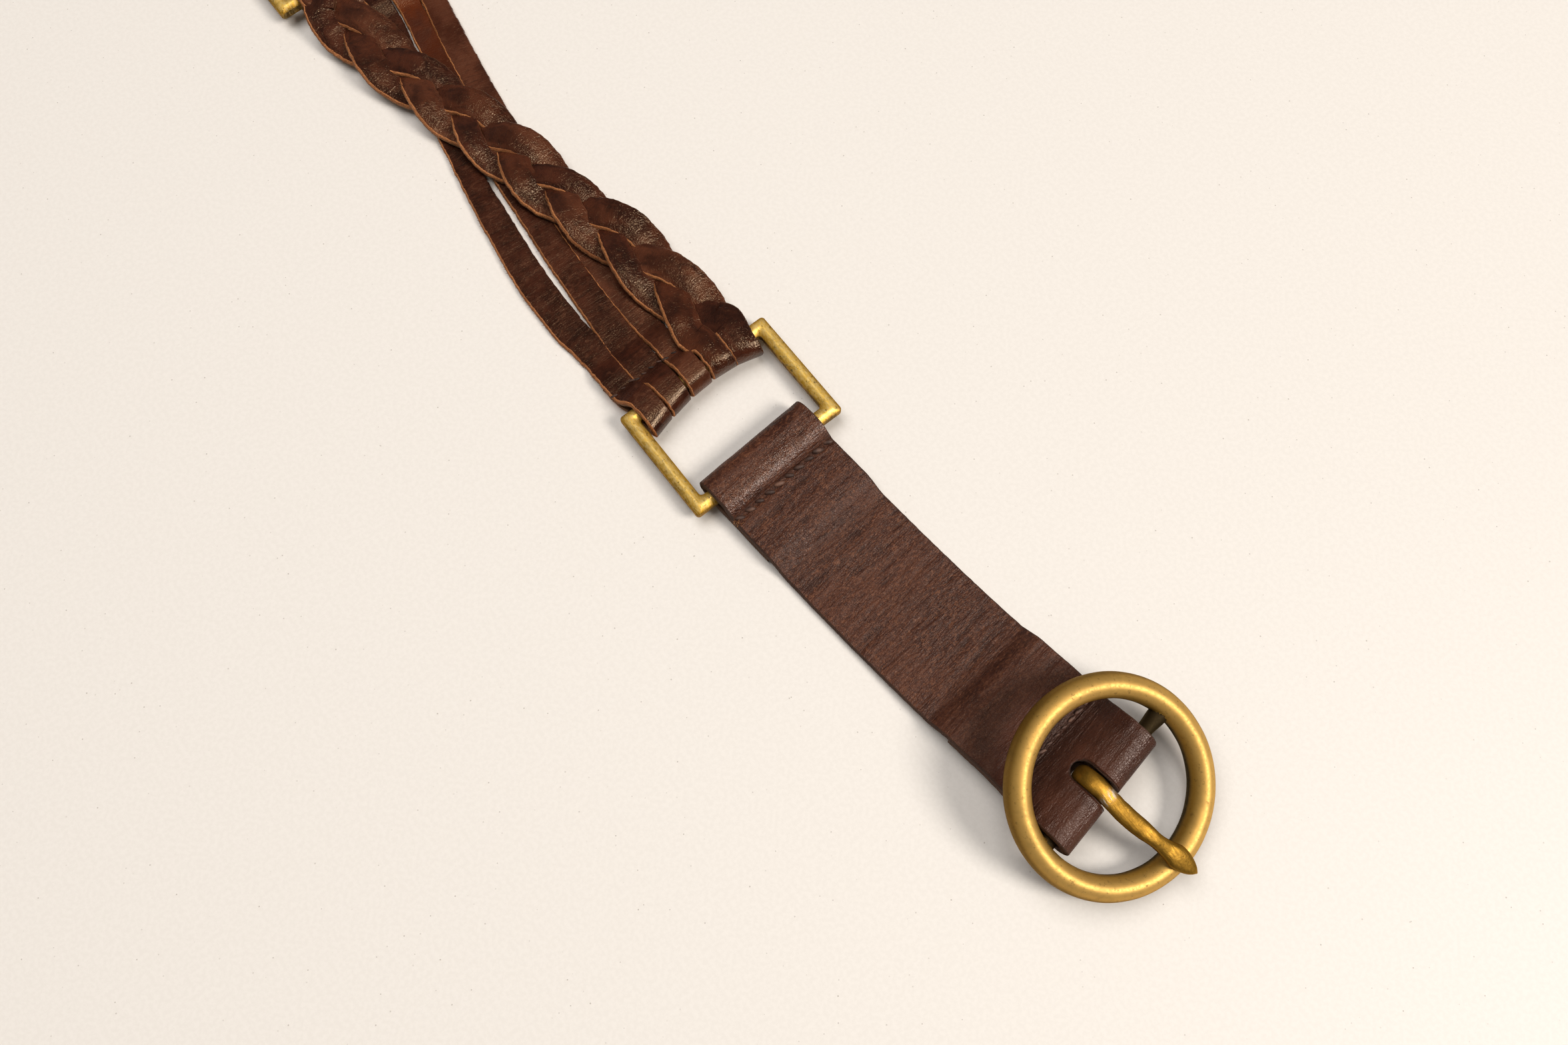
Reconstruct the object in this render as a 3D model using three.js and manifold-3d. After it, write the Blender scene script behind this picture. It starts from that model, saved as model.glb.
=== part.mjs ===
// Braided leather belt: a round centre-bar buckle with its prong on a sewn leather tab, a rectangular
// ring, a panel of three flat strips and one plaited strap, a second ring and the free leather end.
// Millimetres, +Z up. The belt lies flat along X with the buckle at +X. The rings stand square to X,
// and the plait crosses over the flat strips between them.

import * as THREE from "three";
import { mergeVertices } from "three/addons/utils/BufferGeometryUtils.js";
import Module from "manifold-3d";

const wasm = await Module();
wasm.setup();

// Leather
const gap = 0.3; // clearance kept between pieces that touch
const tabWidth = 35; // wide leather at the buckle and at the free end
const tabLeather = 2.6; // its thickness
const stripLeather = 2.0; // thickness of the flat strips and of the plait's folded ends
const strandLeather = 1.8; // thickness of one plaited strand
const edgeBevel = 0.45; // worn long edges

// Rectangular rings
const ringAlong = 35.2; // outer size along the belt
const ringBar = 4.1; // width of a bar
const ringBarHeight = 3.6;
const ringBevel = 0.8;
const ringCorner = 1.0;
const ringRoom = 1.4; // free room beside the leather inside a ring
const foldRoom = 1.8; // free room between a bar and the crest of a fold round it

// Tab between the front ring and the buckle, measured from bar to bar
const tabLength = 117.8;
const tabTurnAtRing = 3.8; // degrees that the tab heads off square at the ring
const tabTurnAtBuckle = 7.6;
const tabShift = -0.8; // sideways place of the tab in the ring
const ringFlap = 20.6; // folded-back leather under the tab, from the bar
const ringSeam = 7.8; // from the bar to the stitched line
const buckleFlap = 32.5;
const buckleSeam = 14.2;
const liftLength = 75; // stretch over which the tab rises to the buckle
const dropLength = 7; // stretch in which the upper layer comes down past a flap

// Buckle and prong
const buckleOuter = 54.8; // outer diameter
const rimWidth = 6.5; // the rim's section, a little taller than wide
const rimHeight = 7.4;
const buckleBar = 4.0; // diameter of the centre bar
const barDrop = 0.6; // the bar sits a little under the middle of the rim
const barBack = 2.8; // and this far behind it, towards the tab
const buckleTilt = 19; // degrees, far rim down on the surface
const buckleShift = 0.9; // sideways place of the buckle on the tab
const rimClear = 0.1; // daylight under the far rim
const slotWidth = 5.8; // slot in the fold that the prong works in
const slotReach = 6.6; // from the bar back to the end of the slot
const slotShift = -2.1; // sideways place of the slot and prong
const prongHubWall = 1.8;
const prongHubWidth = 4.6;
const prongWidth = 4.3;
const prongThick = 2.6;
const prongReach = 29.8; // from the bar to the tip
const prongSkew = 4.5; // degrees that the prong leans off the belt's line
const prongLeadShare = 0.22; // share of its reach that the prong needs to leave the hub

// Panel between the rings, measured from bar to bar
const panelLength = 172;
const stripEndWidth = 7.1; // a strip where it is folded round a ring
const stripSlit = 0.4; // between neighbours at the rings
const braidEndWidth = 15.2; // the plait where it is folded round a ring
const braidWidth = 20;
const strandWidth = 9.2;
const panelFlap = 13.1;
const panelSeam = 8.7;
const panelShift = 1.0; // sideways place of the panel in each ring
const crossFrom = 0.09; // shares of the panel's length between which the plait and strips change sides
const crossTo = 0.91;
const rearRingY = -3.6; // sideways place of the rear ring against the front ring

// Free leather end behind the rear ring
const tongueLength = 150; // from bar to tip
const tongueShift = 0.6;
const tipLength = 26; // rounded stretch at the tip
const holeDiameter = 5;
const holePitch = 22;
const holeCount = 4;
const holeFromTip = 40;

// Where the strips run in the panel: share of the panel's length, sideways sway of the middle strip
// in shares of the panel's width, slits to its neighbours in shares of a strip's end width, and the
// strips' width in shares of their end width.
const stripRows = [
  { share: 0, sway: 0, slitLeft: 0, slitRight: 0, width: 1 },
  { share: 0.12, sway: 0, slitLeft: 0, slitRight: 0, width: 1 },
  { share: 0.2, sway: -0.02, slitLeft: 0.26, slitRight: 0.02, width: 1.12 },
  { share: 0.31, sway: -0.053, slitLeft: 0.3, slitRight: 0.02, width: 1.16 },
  { share: 0.41, sway: -0.074, slitLeft: 0.24, slitRight: 0.02, width: 1.12 },
  { share: 0.51, sway: -0.106, slitLeft: 0.12, slitRight: 0.02, width: 1.05 },
  { share: 0.63, sway: -0.111, slitLeft: 0.04, slitRight: 0.04, width: 0.98 },
  { share: 0.78, sway: -0.08, slitLeft: 0.04, slitRight: 0.08, width: 0.99 },
  { share: 0.9, sway: 0, slitLeft: 0, slitRight: 0, width: 1 },
  { share: 1, sway: 0, slitLeft: 0, slitRight: 0, width: 1 },
];

// Sideways sway of the plait as it crosses from one side to the other, in shares of its width.
const braidRows = [
  { share: 0, sway: 0 },
  { share: 0.2, sway: 0 },
  { share: 0.33, sway: 0.03 },
  { share: 0.44, sway: 0.04 },
  { share: 0.54, sway: 0.1 },
  { share: 0.68, sway: 0.14 },
  { share: 0.82, sway: 0.05 },
  { share: 0.9, sway: 0 },
  { share: 1, sway: 0 },
];

// Lobes of the plait on its left side, counted from the front ring; they are longer near the rings
const lobeRows = [
  { share: 0, lobes: -0.2 },
  { share: 0.183, lobes: 1 },
  { share: 0.314, lobes: 2 },
  { share: 0.427, lobes: 3 },
  { share: 0.535, lobes: 4 },
  { share: 0.645, lobes: 5 },
  { share: 0.767, lobes: 6 },
  { share: 0.907, lobes: 7 },
  { share: 1, lobes: 7.65 },
];

// The prong from its hub to its tip: share of its reach, height over the rim's middle plane in
// shares of the rim's half thickness, and its width and thickness in shares of their named sizes.
const prongRows = [
  { share: 0, height: 0.38, width: 0.98, thick: 0.95 },
  { share: 0.14, height: 0.7, width: 1, thick: 1 },
  { share: 0.3, height: 1.12, width: 1, thick: 1 },
  { share: 0.45, height: 1.5, width: 1.04, thick: 1 },
  { share: 0.56, height: 1.54, width: 0.9, thick: 0.92 },
  { share: 0.68, height: 1.45, width: 0.78, thick: 0.85 },
  { share: 0.8, height: 1.4, width: 0.86, thick: 0.82 },
  { share: 0.9, height: 1.38, width: 1.02, thick: 0.8 },
  { share: 0.96, height: 1.34, width: 0.74, thick: 0.7 },
  { share: 1, height: 1.3, width: 0.26, thick: 0.4 },
];

// Sizes that follow from those above
const ringBase = tabLeather + gap;
const ringTop = ringBase + ringBarHeight;
const stripsWidth = 3 * stripEndWidth + 2 * stripSlit;
const panelWidth = stripsWidth + stripSlit + braidEndWidth;
const ringInside = Math.max(tabWidth, panelWidth) + 2 * ringRoom;
const ringAcross = ringInside + 2 * ringBar;
const ringBarPlace = (ringAlong - ringBar) / 2; // from a ring's middle to its cross bars
const rearRingX = -(2 * ringBarPlace + panelLength);
const rimRadius = (buckleOuter - rimWidth) / 2;
const braidWaist = strandWidth * 0.5;
const braidSwing = (braidWidth - strandWidth) / 2;
const strandRise = strandLeather * 0.85;
const braidMiddle = stripLeather + gap + strandRise + strandLeather / 2;

const radians = THREE.MathUtils.degToRad;
const smooth = (t) => THREE.MathUtils.smoothstep(t, 0, 1);
const upward = new THREE.Vector3(0, 0, 1);

// A column of a table as a smooth function of its share
function column(rows, name) {
  const curve = new THREE.CubicInterpolant(
    rows.map((row) => row.share),
    rows.map((row) => row[name]),
    1,
  );
  return (share) => curve.evaluate(THREE.MathUtils.clamp(share, 0, 1))[0];
}

// Evenly spaced numbers from one value up to, but not including, another
function steps(from, to, count) {
  return Array.from({ length: count }, (_, i) => from + ((to - from) * i) / count);
}

// Outline of a flat strap's section with worn edges, anticlockwise
function strapOutline(width, thickness) {
  const w = width / 2;
  const t = thickness / 2;
  const b = Math.min(edgeBevel, t * 0.5, w * 0.5);
  return [
    [w - b, -t],
    [w, 0],
    [w - b, t],
    [b - w, t],
    [-w, 0],
    [b - w, -t],
  ];
}

// Outline of a rounded bar's section
function roundOutline(width, thickness, sides = 10) {
  return steps(0, 2 * Math.PI, sides).map((a) => [
    (Math.cos(a) * width) / 2,
    (Math.sin(a) * thickness) / 2,
  ]);
}

// A closed body through sections: each station has its centre, its across and up directions and an
// outline in those two directions
function sweep(stations) {
  const points = [];
  const faces = [];
  const count = stations[0].outline.length;
  for (const station of stations)
    for (const [across, up] of station.outline)
      points.push(
        ...station.centre
          .clone()
          .addScaledVector(station.across, across)
          .addScaledVector(station.up, up)
          .toArray(),
      );
  for (let i = 0; i + 1 < stations.length; i++)
    for (let j = 0; j < count; j++) {
      const a = i * count + j;
      const b = i * count + ((j + 1) % count);
      faces.push(a, b, b + count, a, b + count, a + count);
    }
  const last = (stations.length - 1) * count;
  for (let j = 1; j + 1 < count; j++) {
    faces.push(0, j + 1, j);
    faces.push(last, last + j, last + j + 1);
  }
  const geometry = new THREE.BufferGeometry();
  geometry.setAttribute("position", new THREE.Float32BufferAttribute(points, 3));
  geometry.setIndex(faces);
  return geometry;
}

// Stations of a strap that follows a side route of [distance, height] points over a base line, which
// gives the place, direction and up of the strap's underside at a distance
function strapStations(route, base, widthAt, thickness) {
  return route.map(([distance, height], i) => {
    const [s0, h0] = route[Math.max(i - 1, 0)];
    const [s1, h1] = route[Math.min(i + 1, route.length - 1)];
    const { origin, along, up } = base(distance);
    const direction = new THREE.Vector2(s1 - s0, h1 - h0).normalize();
    return {
      centre: origin.clone().addScaledVector(up, height),
      across: up.clone().cross(along),
      up: along
        .clone()
        .multiplyScalar(-direction.y)
        .addScaledVector(up, direction.x),
      outline: strapOutline(widthAt(distance), thickness),
    };
  });
}

// Side route of a strap's end that is folded round a bar, from the tip of the flap under it, round
// the bar and back over it, down to the seam and on past the flap to the surface. `bar` is the bar's
// distance, `out` the direction that the fold points in, `low` and `high` the bar's underside and top.
// A short end stops at its seam.
function foldedEnd({ bar, out, thickness, low, high, half, room, flap, seam, short = false }) {
  const under = low - gap - thickness / 2;
  const over = high + gap + thickness / 2;
  const radius = (over - under) / 2;
  const middle = half + room - radius + thickness / 2;
  const seamHeight = under + thickness + gap;
  const points = [];
  for (const u of steps(-flap, 0, 3)) points.push([u, under]);
  for (const a of steps(-Math.PI / 2, Math.PI / 2, 8))
    points.push([middle + radius * Math.cos(a), under + radius + radius * Math.sin(a)]);
  points.push([middle, over]);
  for (const t of steps(0, 1, 5))
    points.push([
      THREE.MathUtils.lerp(-half - room / 2, -seam, t),
      THREE.MathUtils.lerp(over, seamHeight, smooth(t)),
    ]);
  if (short) points.push([-seam, seamHeight]);
  else {
    for (const t of steps(0, 1, 2))
      points.push([THREE.MathUtils.lerp(-seam, -flap - gap, t), seamHeight]);
    for (const t of steps(0, 1, 4))
      points.push([
        -flap - gap - t * dropLength,
        THREE.MathUtils.lerp(seamHeight, under, smooth(t)),
      ]);
  }
  return points.map(([u, height]) => [bar + out * u, height]);
}

// Where a folded end has come down to the surface, as a distance from its bar
const foldReach = (flap) => flap + gap + dropLength;

// The lower layer of a strap on a ring rests on the surface, so the bar seems lower to thin leather
const ringFold = (thickness, flap, seam) => ({
  thickness,
  low: thickness + gap,
  high: ringTop,
  half: ringBar / 2,
  room: foldRoom,
  flap,
  seam,
});

// Manifold solids, used for joining and cutting
function solid(geometry) {
  const bare = geometry.clone();
  bare.deleteAttribute("normal");
  bare.deleteAttribute("uv");
  const merged = mergeVertices(bare, 1e-4);
  return new wasm.Manifold(
    new wasm.Mesh({
      numProp: 3,
      vertProperties: merged.attributes.position.array,
      triVerts: new Uint32Array(merged.index.array),
    }),
  );
}

function geometryOf(body) {
  const mesh = body.getMesh();
  const geometry = new THREE.BufferGeometry();
  geometry.setAttribute("position", new THREE.BufferAttribute(mesh.vertProperties, 3));
  geometry.setIndex(new THREE.BufferAttribute(mesh.triVerts, 1));
  return geometry;
}

// Base line of the tab: it turns a little as it leaves the ring and rises to the buckle's bar
const barHeightOverBase = tabLeather + gap + buckleBar / 2;
const barHeight =
  rimHeight / 2 +
  (rimRadius + barBack) * Math.sin(radians(buckleTilt)) -
  barDrop * Math.cos(radians(buckleTilt)) +
  rimClear;
const tabRise = barHeight - barHeightOverBase;

function tabBase(distance) {
  const share = distance / tabLength;
  const turn = THREE.MathUtils.lerp(tabTurnAtRing, tabTurnAtBuckle, share);
  const meanTurn = radians((tabTurnAtRing + turn) / 2);
  const climb = Math.max(0, distance - (tabLength - liftLength)) / liftLength;
  const slope = (2 * tabRise * climb) / liftLength;
  const along = new THREE.Vector3(Math.cos(radians(turn)), Math.sin(radians(turn)), slope).normalize();
  const side = upward.clone().cross(along).normalize();
  return {
    origin: new THREE.Vector3(
      ringBarPlace + distance * Math.cos(meanTurn),
      tabShift + distance * Math.sin(meanTurn),
      tabRise * climb * climb,
    ),
    along,
    up: along.clone().cross(side),
  };
}

// The place and direction of the buckle's bar, which the slot, the buckle and the prong share
const barPlace = tabBase(tabLength);
const barCentre = barPlace.origin.clone().addScaledVector(barPlace.up, barHeightOverBase);
const barTurn = radians(tabTurnAtBuckle);

// The wide leather tab, folded round the ring's bar and round the buckle's bar and slotted there
function buckleTab() {
  const ringEnd = foldedEnd({ bar: 0, out: -1, ...ringFold(tabLeather, ringFlap, ringSeam) });
  const buckleEnd = foldedEnd({
    bar: tabLength,
    out: 1,
    thickness: tabLeather,
    low: tabLeather + gap,
    high: tabLeather + gap + buckleBar,
    half: buckleBar / 2,
    room: gap,
    flap: buckleFlap,
    seam: buckleSeam,
  }).reverse();
  const from = foldReach(ringFlap);
  const to = tabLength - foldReach(buckleFlap);
  const between = steps(from, to, 8).map((distance) => [distance, tabLeather / 2]);
  const route = [...ringEnd, ...between, ...buckleEnd];
  const strap = sweep(strapStations(route, tabBase, () => tabWidth, tabLeather));

  const slot = new THREE.Shape();
  const radius = slotWidth / 2;
  slot.moveTo(rimRadius / 2, -radius);
  slot.lineTo(rimRadius / 2, radius);
  slot.lineTo(radius - slotReach, radius);
  slot.absarc(radius - slotReach, 0, radius, Math.PI / 2, (3 * Math.PI) / 2, false);
  slot.closePath();
  const tall = 2 * barHeight + 4 * tabLeather;
  const cutter = new THREE.ExtrudeGeometry(slot, { depth: tall, bevelEnabled: false, curveSegments: 8 });
  cutter.translate(0, slotShift, -tall / 2);
  cutter.rotateZ(barTurn);
  cutter.translate(barCentre.x, barCentre.y, barCentre.z);
  return geometryOf(solid(strap).subtract(solid(cutter)));
}

// Rectangular ring with bevelled bars and small rounded corners, its middle at the origin
function rectangularRing() {
  const b = ringBar / 2;
  const h = ringBarHeight / 2;
  const section = [
    [b - ringBevel, -h],
    [b, ringBevel - h],
    [b, h - ringBevel],
    [b - ringBevel, h],
    [ringBevel - b, h],
    [-b, h - ringBevel],
    [-b, ringBevel - h],
    [ringBevel - b, -h],
  ];
  const points = [];
  const corners = [
    [1, 1],
    [-1, 1],
    [-1, -1],
    [1, -1],
  ];
  const turns = [0, 0.5, 1];
  corners.forEach(([x, y], quarter) =>
    turns.forEach((turn) => {
      const angle = ((quarter + turn) * Math.PI) / 2;
      for (const [outward, z] of section)
        points.push(
          x * (ringBarPlace + outward - ringCorner) + ringCorner * Math.cos(angle),
          y * ((ringAcross - ringBar) / 2 + outward - ringCorner) + ringCorner * Math.sin(angle),
          z,
        );
    }),
  );
  const faces = [];
  const count = section.length;
  const stations = corners.length * turns.length;
  for (let i = 0; i < stations; i++)
    for (let j = 0; j < count; j++) {
      const next = (i + 1) % stations;
      const k = (j + 1) % count;
      faces.push(i * count + j, next * count + j, next * count + k);
      faces.push(i * count + j, next * count + k, i * count + k);
    }
  const geometry = new THREE.BufferGeometry();
  geometry.setAttribute("position", new THREE.Float32BufferAttribute(points, 3));
  geometry.setIndex(faces);
  return geometry;
}

// Round buckle rim with its centre bar, cast as one. The bar lies along Y through the origin.
function buckleFrame() {
  const profile = steps(0, 2 * Math.PI, 12).map(
    (a) =>
      new THREE.Vector2(
        rimRadius + (rimWidth / 2) * Math.cos(a),
        (rimHeight / 2) * Math.sin(a),
      ),
  );
  profile.push(profile[0].clone());
  const rim = new THREE.LatheGeometry(profile, 52);
  rim.rotateX(Math.PI / 2);
  rim.translate(barBack, 0, barDrop);
  const chord = 2 * Math.sqrt(rimRadius ** 2 - barBack ** 2);
  const bar = new THREE.CylinderGeometry(buckleBar / 2, buckleBar / 2, chord, 14);
  return geometryOf(solid(rim).add(solid(bar)));
}

// Prong: a hub round the bar and a shank that bends over the far rim to a spear-shaped tip
function prong() {
  const height = column(prongRows, "height");
  const width = column(prongRows, "width");
  const thick = column(prongRows, "thick");
  const half = rimHeight / 2;
  const place = (share) =>
    new THREE.Vector3(share * prongReach, 0, barDrop + height(share) * half);
  const lead = prongLeadShare / 2;
  const shank = [...steps(0, 1, 14), 1].map((share) => {
    const ahead = place(Math.min(1, share + lead / 4));
    const behind = place(Math.max(0, share - lead / 4));
    const along = ahead.sub(behind).normalize();
    const across = new THREE.Vector3(0, 1, 0);
    return {
      centre: place(share),
      across,
      up: along.clone().cross(across),
      outline: roundOutline(prongWidth * width(share), prongThick * thick(share)),
    };
  });
  const inside = buckleBar / 2 + gap;
  const outside = inside + prongHubWall;
  const side = prongHubWidth / 2;
  const worn = prongHubWall * 0.3;
  const profile = [
    new THREE.Vector2(inside, -side),
    new THREE.Vector2(outside - worn, -side),
    new THREE.Vector2(outside, worn - side),
    new THREE.Vector2(outside, side - worn),
    new THREE.Vector2(outside - worn, side),
    new THREE.Vector2(inside, side),
    new THREE.Vector2(inside, -side),
  ];
  const hub = solid(new THREE.LatheGeometry(profile, 20));
  const bore = solid(new THREE.CylinderGeometry(inside, inside, prongHubWidth * 2, 20));
  const blade = sweep(shank);
  blade.rotateZ(radians(prongSkew));
  return geometryOf(hub.add(solid(blade).subtract(bore)));
}

// Base line of a strap in the panel: distances run from the front ring's bar towards the rear ring
function panelBase(lateral) {
  return (distance) => {
    const reach = 0.5;
    const lean = (lateral(distance + reach) - lateral(distance - reach)) / (2 * reach);
    return {
      origin: new THREE.Vector3(-ringBarPlace - distance, lateral(distance), 0),
      along: new THREE.Vector3(-1, lean, 0).normalize(),
      up: upward.clone(),
    };
  };
}

// Sideways places of the strips' middle and of the plait at the two rings: they change sides
const frontEdge = -panelShift - panelWidth / 2;
const rearEdge = rearRingY + panelShift - panelWidth / 2;
const stripsFront = frontEdge + stripsWidth / 2;
const stripsRear = rearEdge + panelWidth - stripsWidth / 2;
const braidFront = frontEdge + panelWidth - braidEndWidth / 2;
const braidRear = rearEdge + braidEndWidth / 2;

// A sideways place on its way from the front ring to the rear ring
const crossed = (front, rear, share) =>
  THREE.MathUtils.lerp(front, rear, smooth((share - crossFrom) / (crossTo - crossFrom)));

// One flat strip of the panel; `side` is -1, 0 or 1 for the left, middle and right strip
function strip(side) {
  const sway = column(stripRows, "sway");
  const slit = column(stripRows, side < 0 ? "slitLeft" : "slitRight");
  const width = column(stripRows, "width");
  const widthAt = (distance) => stripEndWidth * width(distance / panelLength);
  const lateral = (distance) => {
    const share = THREE.MathUtils.clamp(distance / panelLength, 0, 1);
    const middle = crossed(stripsFront, stripsRear, share) + panelWidth * sway(share);
    const step = widthAt(distance) + stripSlit + stripEndWidth * Math.max(0, slit(share));
    return middle + side * step;
  };
  const fold = ringFold(stripLeather, panelFlap, panelSeam);
  const front = foldedEnd({ bar: 0, out: -1, ...fold });
  const rear = foldedEnd({ bar: panelLength, out: 1, ...fold }).reverse();
  const reach = foldReach(panelFlap);
  const between = steps(reach, panelLength - reach, 15).map((s) => [s, stripLeather / 2]);
  const route = [...front, ...between, ...rear];
  return sweep(strapStations(route, panelBase(lateral), widthAt, stripLeather));
}

// The plait: three flat strands laid over and under each other, with an end folded round each ring
function braid() {
  const sway = column(braidRows, "sway");
  const lateral = (distance) => {
    const share = THREE.MathUtils.clamp(distance / panelLength, 0, 1);
    return crossed(braidFront, braidRear, share) + braidWidth * sway(share);
  };
  const lobes = column(lobeRows, "lobes");
  const fold = ringFold(stripLeather, panelFlap, panelSeam);
  const tuck = panelSeam * 1.25; // where the strands come out of the folded ends
  const ease = braidWidth * 0.6; // and the stretch in which they spread to their full width
  const open = (distance) =>
    smooth((distance - tuck) / ease) * smooth((panelLength - tuck - distance) / ease);
  const seamHeight = stripLeather * 1.5 + gap;
  const ends = [-1, 1].map((out) => {
    const bar = out < 0 ? 0 : panelLength;
    const route = foldedEnd({ bar, out, ...fold, short: true });
    route.push([bar - out * (tuck + ease * 0.5), braidMiddle - strandLeather / 4]);
    return sweep(strapStations(route, panelBase(lateral), () => braidEndWidth, stripLeather));
  });
  const strands = [0, 1, 2].map((turn) => {
    const angle = (distance) =>
      ((lobes(distance / panelLength) + turn) * 2 * Math.PI) / 3 + Math.PI / 2;
    const across = (distance) =>
      lateral(distance) - Math.sin(angle(distance)) * braidSwing * (0.45 + 0.55 * open(distance));
    const rise = (distance) =>
      THREE.MathUtils.lerp(seamHeight + strandLeather / 4, braidMiddle, open(distance)) -
      Math.sin(2 * angle(distance)) * strandRise * open(distance);
    const route = [...steps(tuck, panelLength - tuck, 44), panelLength - tuck].map((s) => [s, rise(s)]);
    const base = panelBase(across);
    const widthAt = (distance) => THREE.MathUtils.lerp(braidWaist, strandWidth, open(distance));
    return solid(sweep(strapStations(route, base, widthAt, strandLeather)));
  });
  return geometryOf([...ends.map(solid), ...strands].reduce((all, piece) => all.add(piece)));
}

// Free leather end: folded on the rear ring, rounded at its tip and punched for the prong
function tongue() {
  const base = (distance) => ({
    origin: new THREE.Vector3(rearRingX - ringBarPlace - distance, rearRingY + tongueShift, 0),
    along: new THREE.Vector3(-1, 0, 0),
    up: upward.clone(),
  });
  const fold = foldedEnd({ bar: 0, out: -1, ...ringFold(tabLeather, ringFlap, ringSeam) });
  const from = foldReach(ringFlap);
  const straight = steps(from, tongueLength - tipLength, 3).map((s) => [s, tabLeather / 2]);
  const rounded = steps(0, Math.PI / 2, 7).map((a) => [
    tongueLength - tipLength + tipLength * Math.sin(a),
    tabLeather / 2,
  ]);
  const widthAt = (distance) => {
    const past = THREE.MathUtils.clamp((distance - tongueLength + tipLength) / tipLength, 0, 1);
    return tabWidth * Math.sqrt(1 - past * past);
  };
  let strap = solid(sweep(strapStations([...fold, ...straight, ...rounded], base, widthAt, tabLeather)));
  for (let i = 0; i < holeCount; i++) {
    const { origin } = base(tongueLength - holeFromTip - i * holePitch);
    const punch = new THREE.CylinderGeometry(holeDiameter / 2, holeDiameter / 2, 4 * tabLeather, 16);
    punch.rotateX(Math.PI / 2);
    punch.translate(origin.x, origin.y, 0);
    strap = strap.subtract(solid(punch));
  }
  return geometryOf(strap);
}

const leather = (color) => new THREE.MeshStandardMaterial({ color, roughness: 0.55, metalness: 0 });
const brass = (color) => new THREE.MeshStandardMaterial({ color, roughness: 0.35, metalness: 1 });

function named(name, geometry, material) {
  geometry.computeVertexNormals();
  const mesh = new THREE.Mesh(geometry, material);
  mesh.name = name;
  return mesh;
}

const belt = new THREE.Group();
belt.add(named("buckle_tab", buckleTab(), leather("#3b211c")));
belt.add(named("tongue", tongue(), leather("#3b211c")));
["strip_left", "strip_middle", "strip_right"].forEach((name, i) =>
  belt.add(named(name, strip(i - 1), leather("#472318"))),
);
belt.add(named("braid", braid(), leather("#43201a")));

const frontRing = named("ring_front", rectangularRing(), brass("#a37c33"));
frontRing.position.z = ringBase + ringBarHeight / 2;
belt.add(frontRing);
const rearRing = named("ring_rear", rectangularRing(), brass("#a37c33"));
rearRing.position.set(rearRingX, rearRingY, ringBase + ringBarHeight / 2);
belt.add(rearRing);

const buckle = new THREE.Group();
buckle.position.copy(barCentre);
buckle.rotation.set(0, radians(buckleTilt), barTurn, "ZYX");
const frame = named("buckle_frame", buckleFrame(), brass("#7d6434"));
frame.position.y = buckleShift;
buckle.add(frame);
const prongMesh = named("prong", prong(), brass("#6f6a58"));
prongMesh.position.y = slotShift;
buckle.add(prongMesh);
belt.add(buckle);

// The origin is under the middle of the belt, on the surface that it lies on
const bounds = new THREE.Box3().setFromObject(belt, true);
const middle = bounds.getCenter(new THREE.Vector3());
belt.position.set(-middle.x, -middle.y, -bounds.min.z);
const group = new THREE.Group();
group.add(belt);

export default group;
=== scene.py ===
import math
from bisect import bisect_right

import bpy
import numpy as np
from mathutils import Matrix, Vector
from mathutils.kdtree import KDTree


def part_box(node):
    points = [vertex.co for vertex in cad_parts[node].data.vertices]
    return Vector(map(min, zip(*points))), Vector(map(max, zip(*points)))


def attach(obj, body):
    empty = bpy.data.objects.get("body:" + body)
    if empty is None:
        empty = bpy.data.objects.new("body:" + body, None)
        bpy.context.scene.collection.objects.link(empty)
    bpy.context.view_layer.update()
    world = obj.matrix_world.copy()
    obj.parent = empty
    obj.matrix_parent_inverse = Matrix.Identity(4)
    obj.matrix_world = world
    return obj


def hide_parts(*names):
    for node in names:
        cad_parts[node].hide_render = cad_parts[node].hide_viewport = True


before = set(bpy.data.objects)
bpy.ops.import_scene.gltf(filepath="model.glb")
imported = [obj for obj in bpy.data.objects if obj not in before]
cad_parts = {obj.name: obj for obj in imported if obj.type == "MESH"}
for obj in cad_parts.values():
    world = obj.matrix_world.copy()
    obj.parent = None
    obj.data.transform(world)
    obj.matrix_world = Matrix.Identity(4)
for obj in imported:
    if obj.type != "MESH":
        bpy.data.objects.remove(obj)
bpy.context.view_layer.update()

mm = 0.001
clearance = 0.3  # kept between pieces that touch
newPointDistance = 0.02  # further than this from every old point, a point is taken as newly cut
edgeSteps = 8  # points round each long edge of a strap

ringLook = {
    "along": 35.2,
    "bar": 4.1,
    "height": 3.6,
    "inside": 40.6,
    "base": 2.9,
    "corner": 1.0,
    "ridge": 1.0,
    "ridgeWidth": 0.7,
    "lowerBevel": 0.5,
    "rounding": 0.3,
    "wobble": 0.05,
    "cornerSteps": 7,
    "sideSteps": 30,
    "rearY": -3.6,
    "panelLength": 172.0,
}
barPlace = (ringLook["along"] - ringLook["bar"]) / 2
rearRingX = -(2 * barPlace + ringLook["panelLength"])
ringTop = ringLook["base"] + ringLook["height"]

low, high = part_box("ring_front")
shift = np.array([(low.x + high.x) / 2, (low.y + high.y) / 2, low.z - ringLook["base"] * mm])


def smooth(t):
    t = np.clip(t, 0, 1)
    return t * t * (3 - 2 * t)


def lerp(a, b, t):
    return a + (b - a) * t


def bell(value):
    return np.exp(-value**2)


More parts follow.
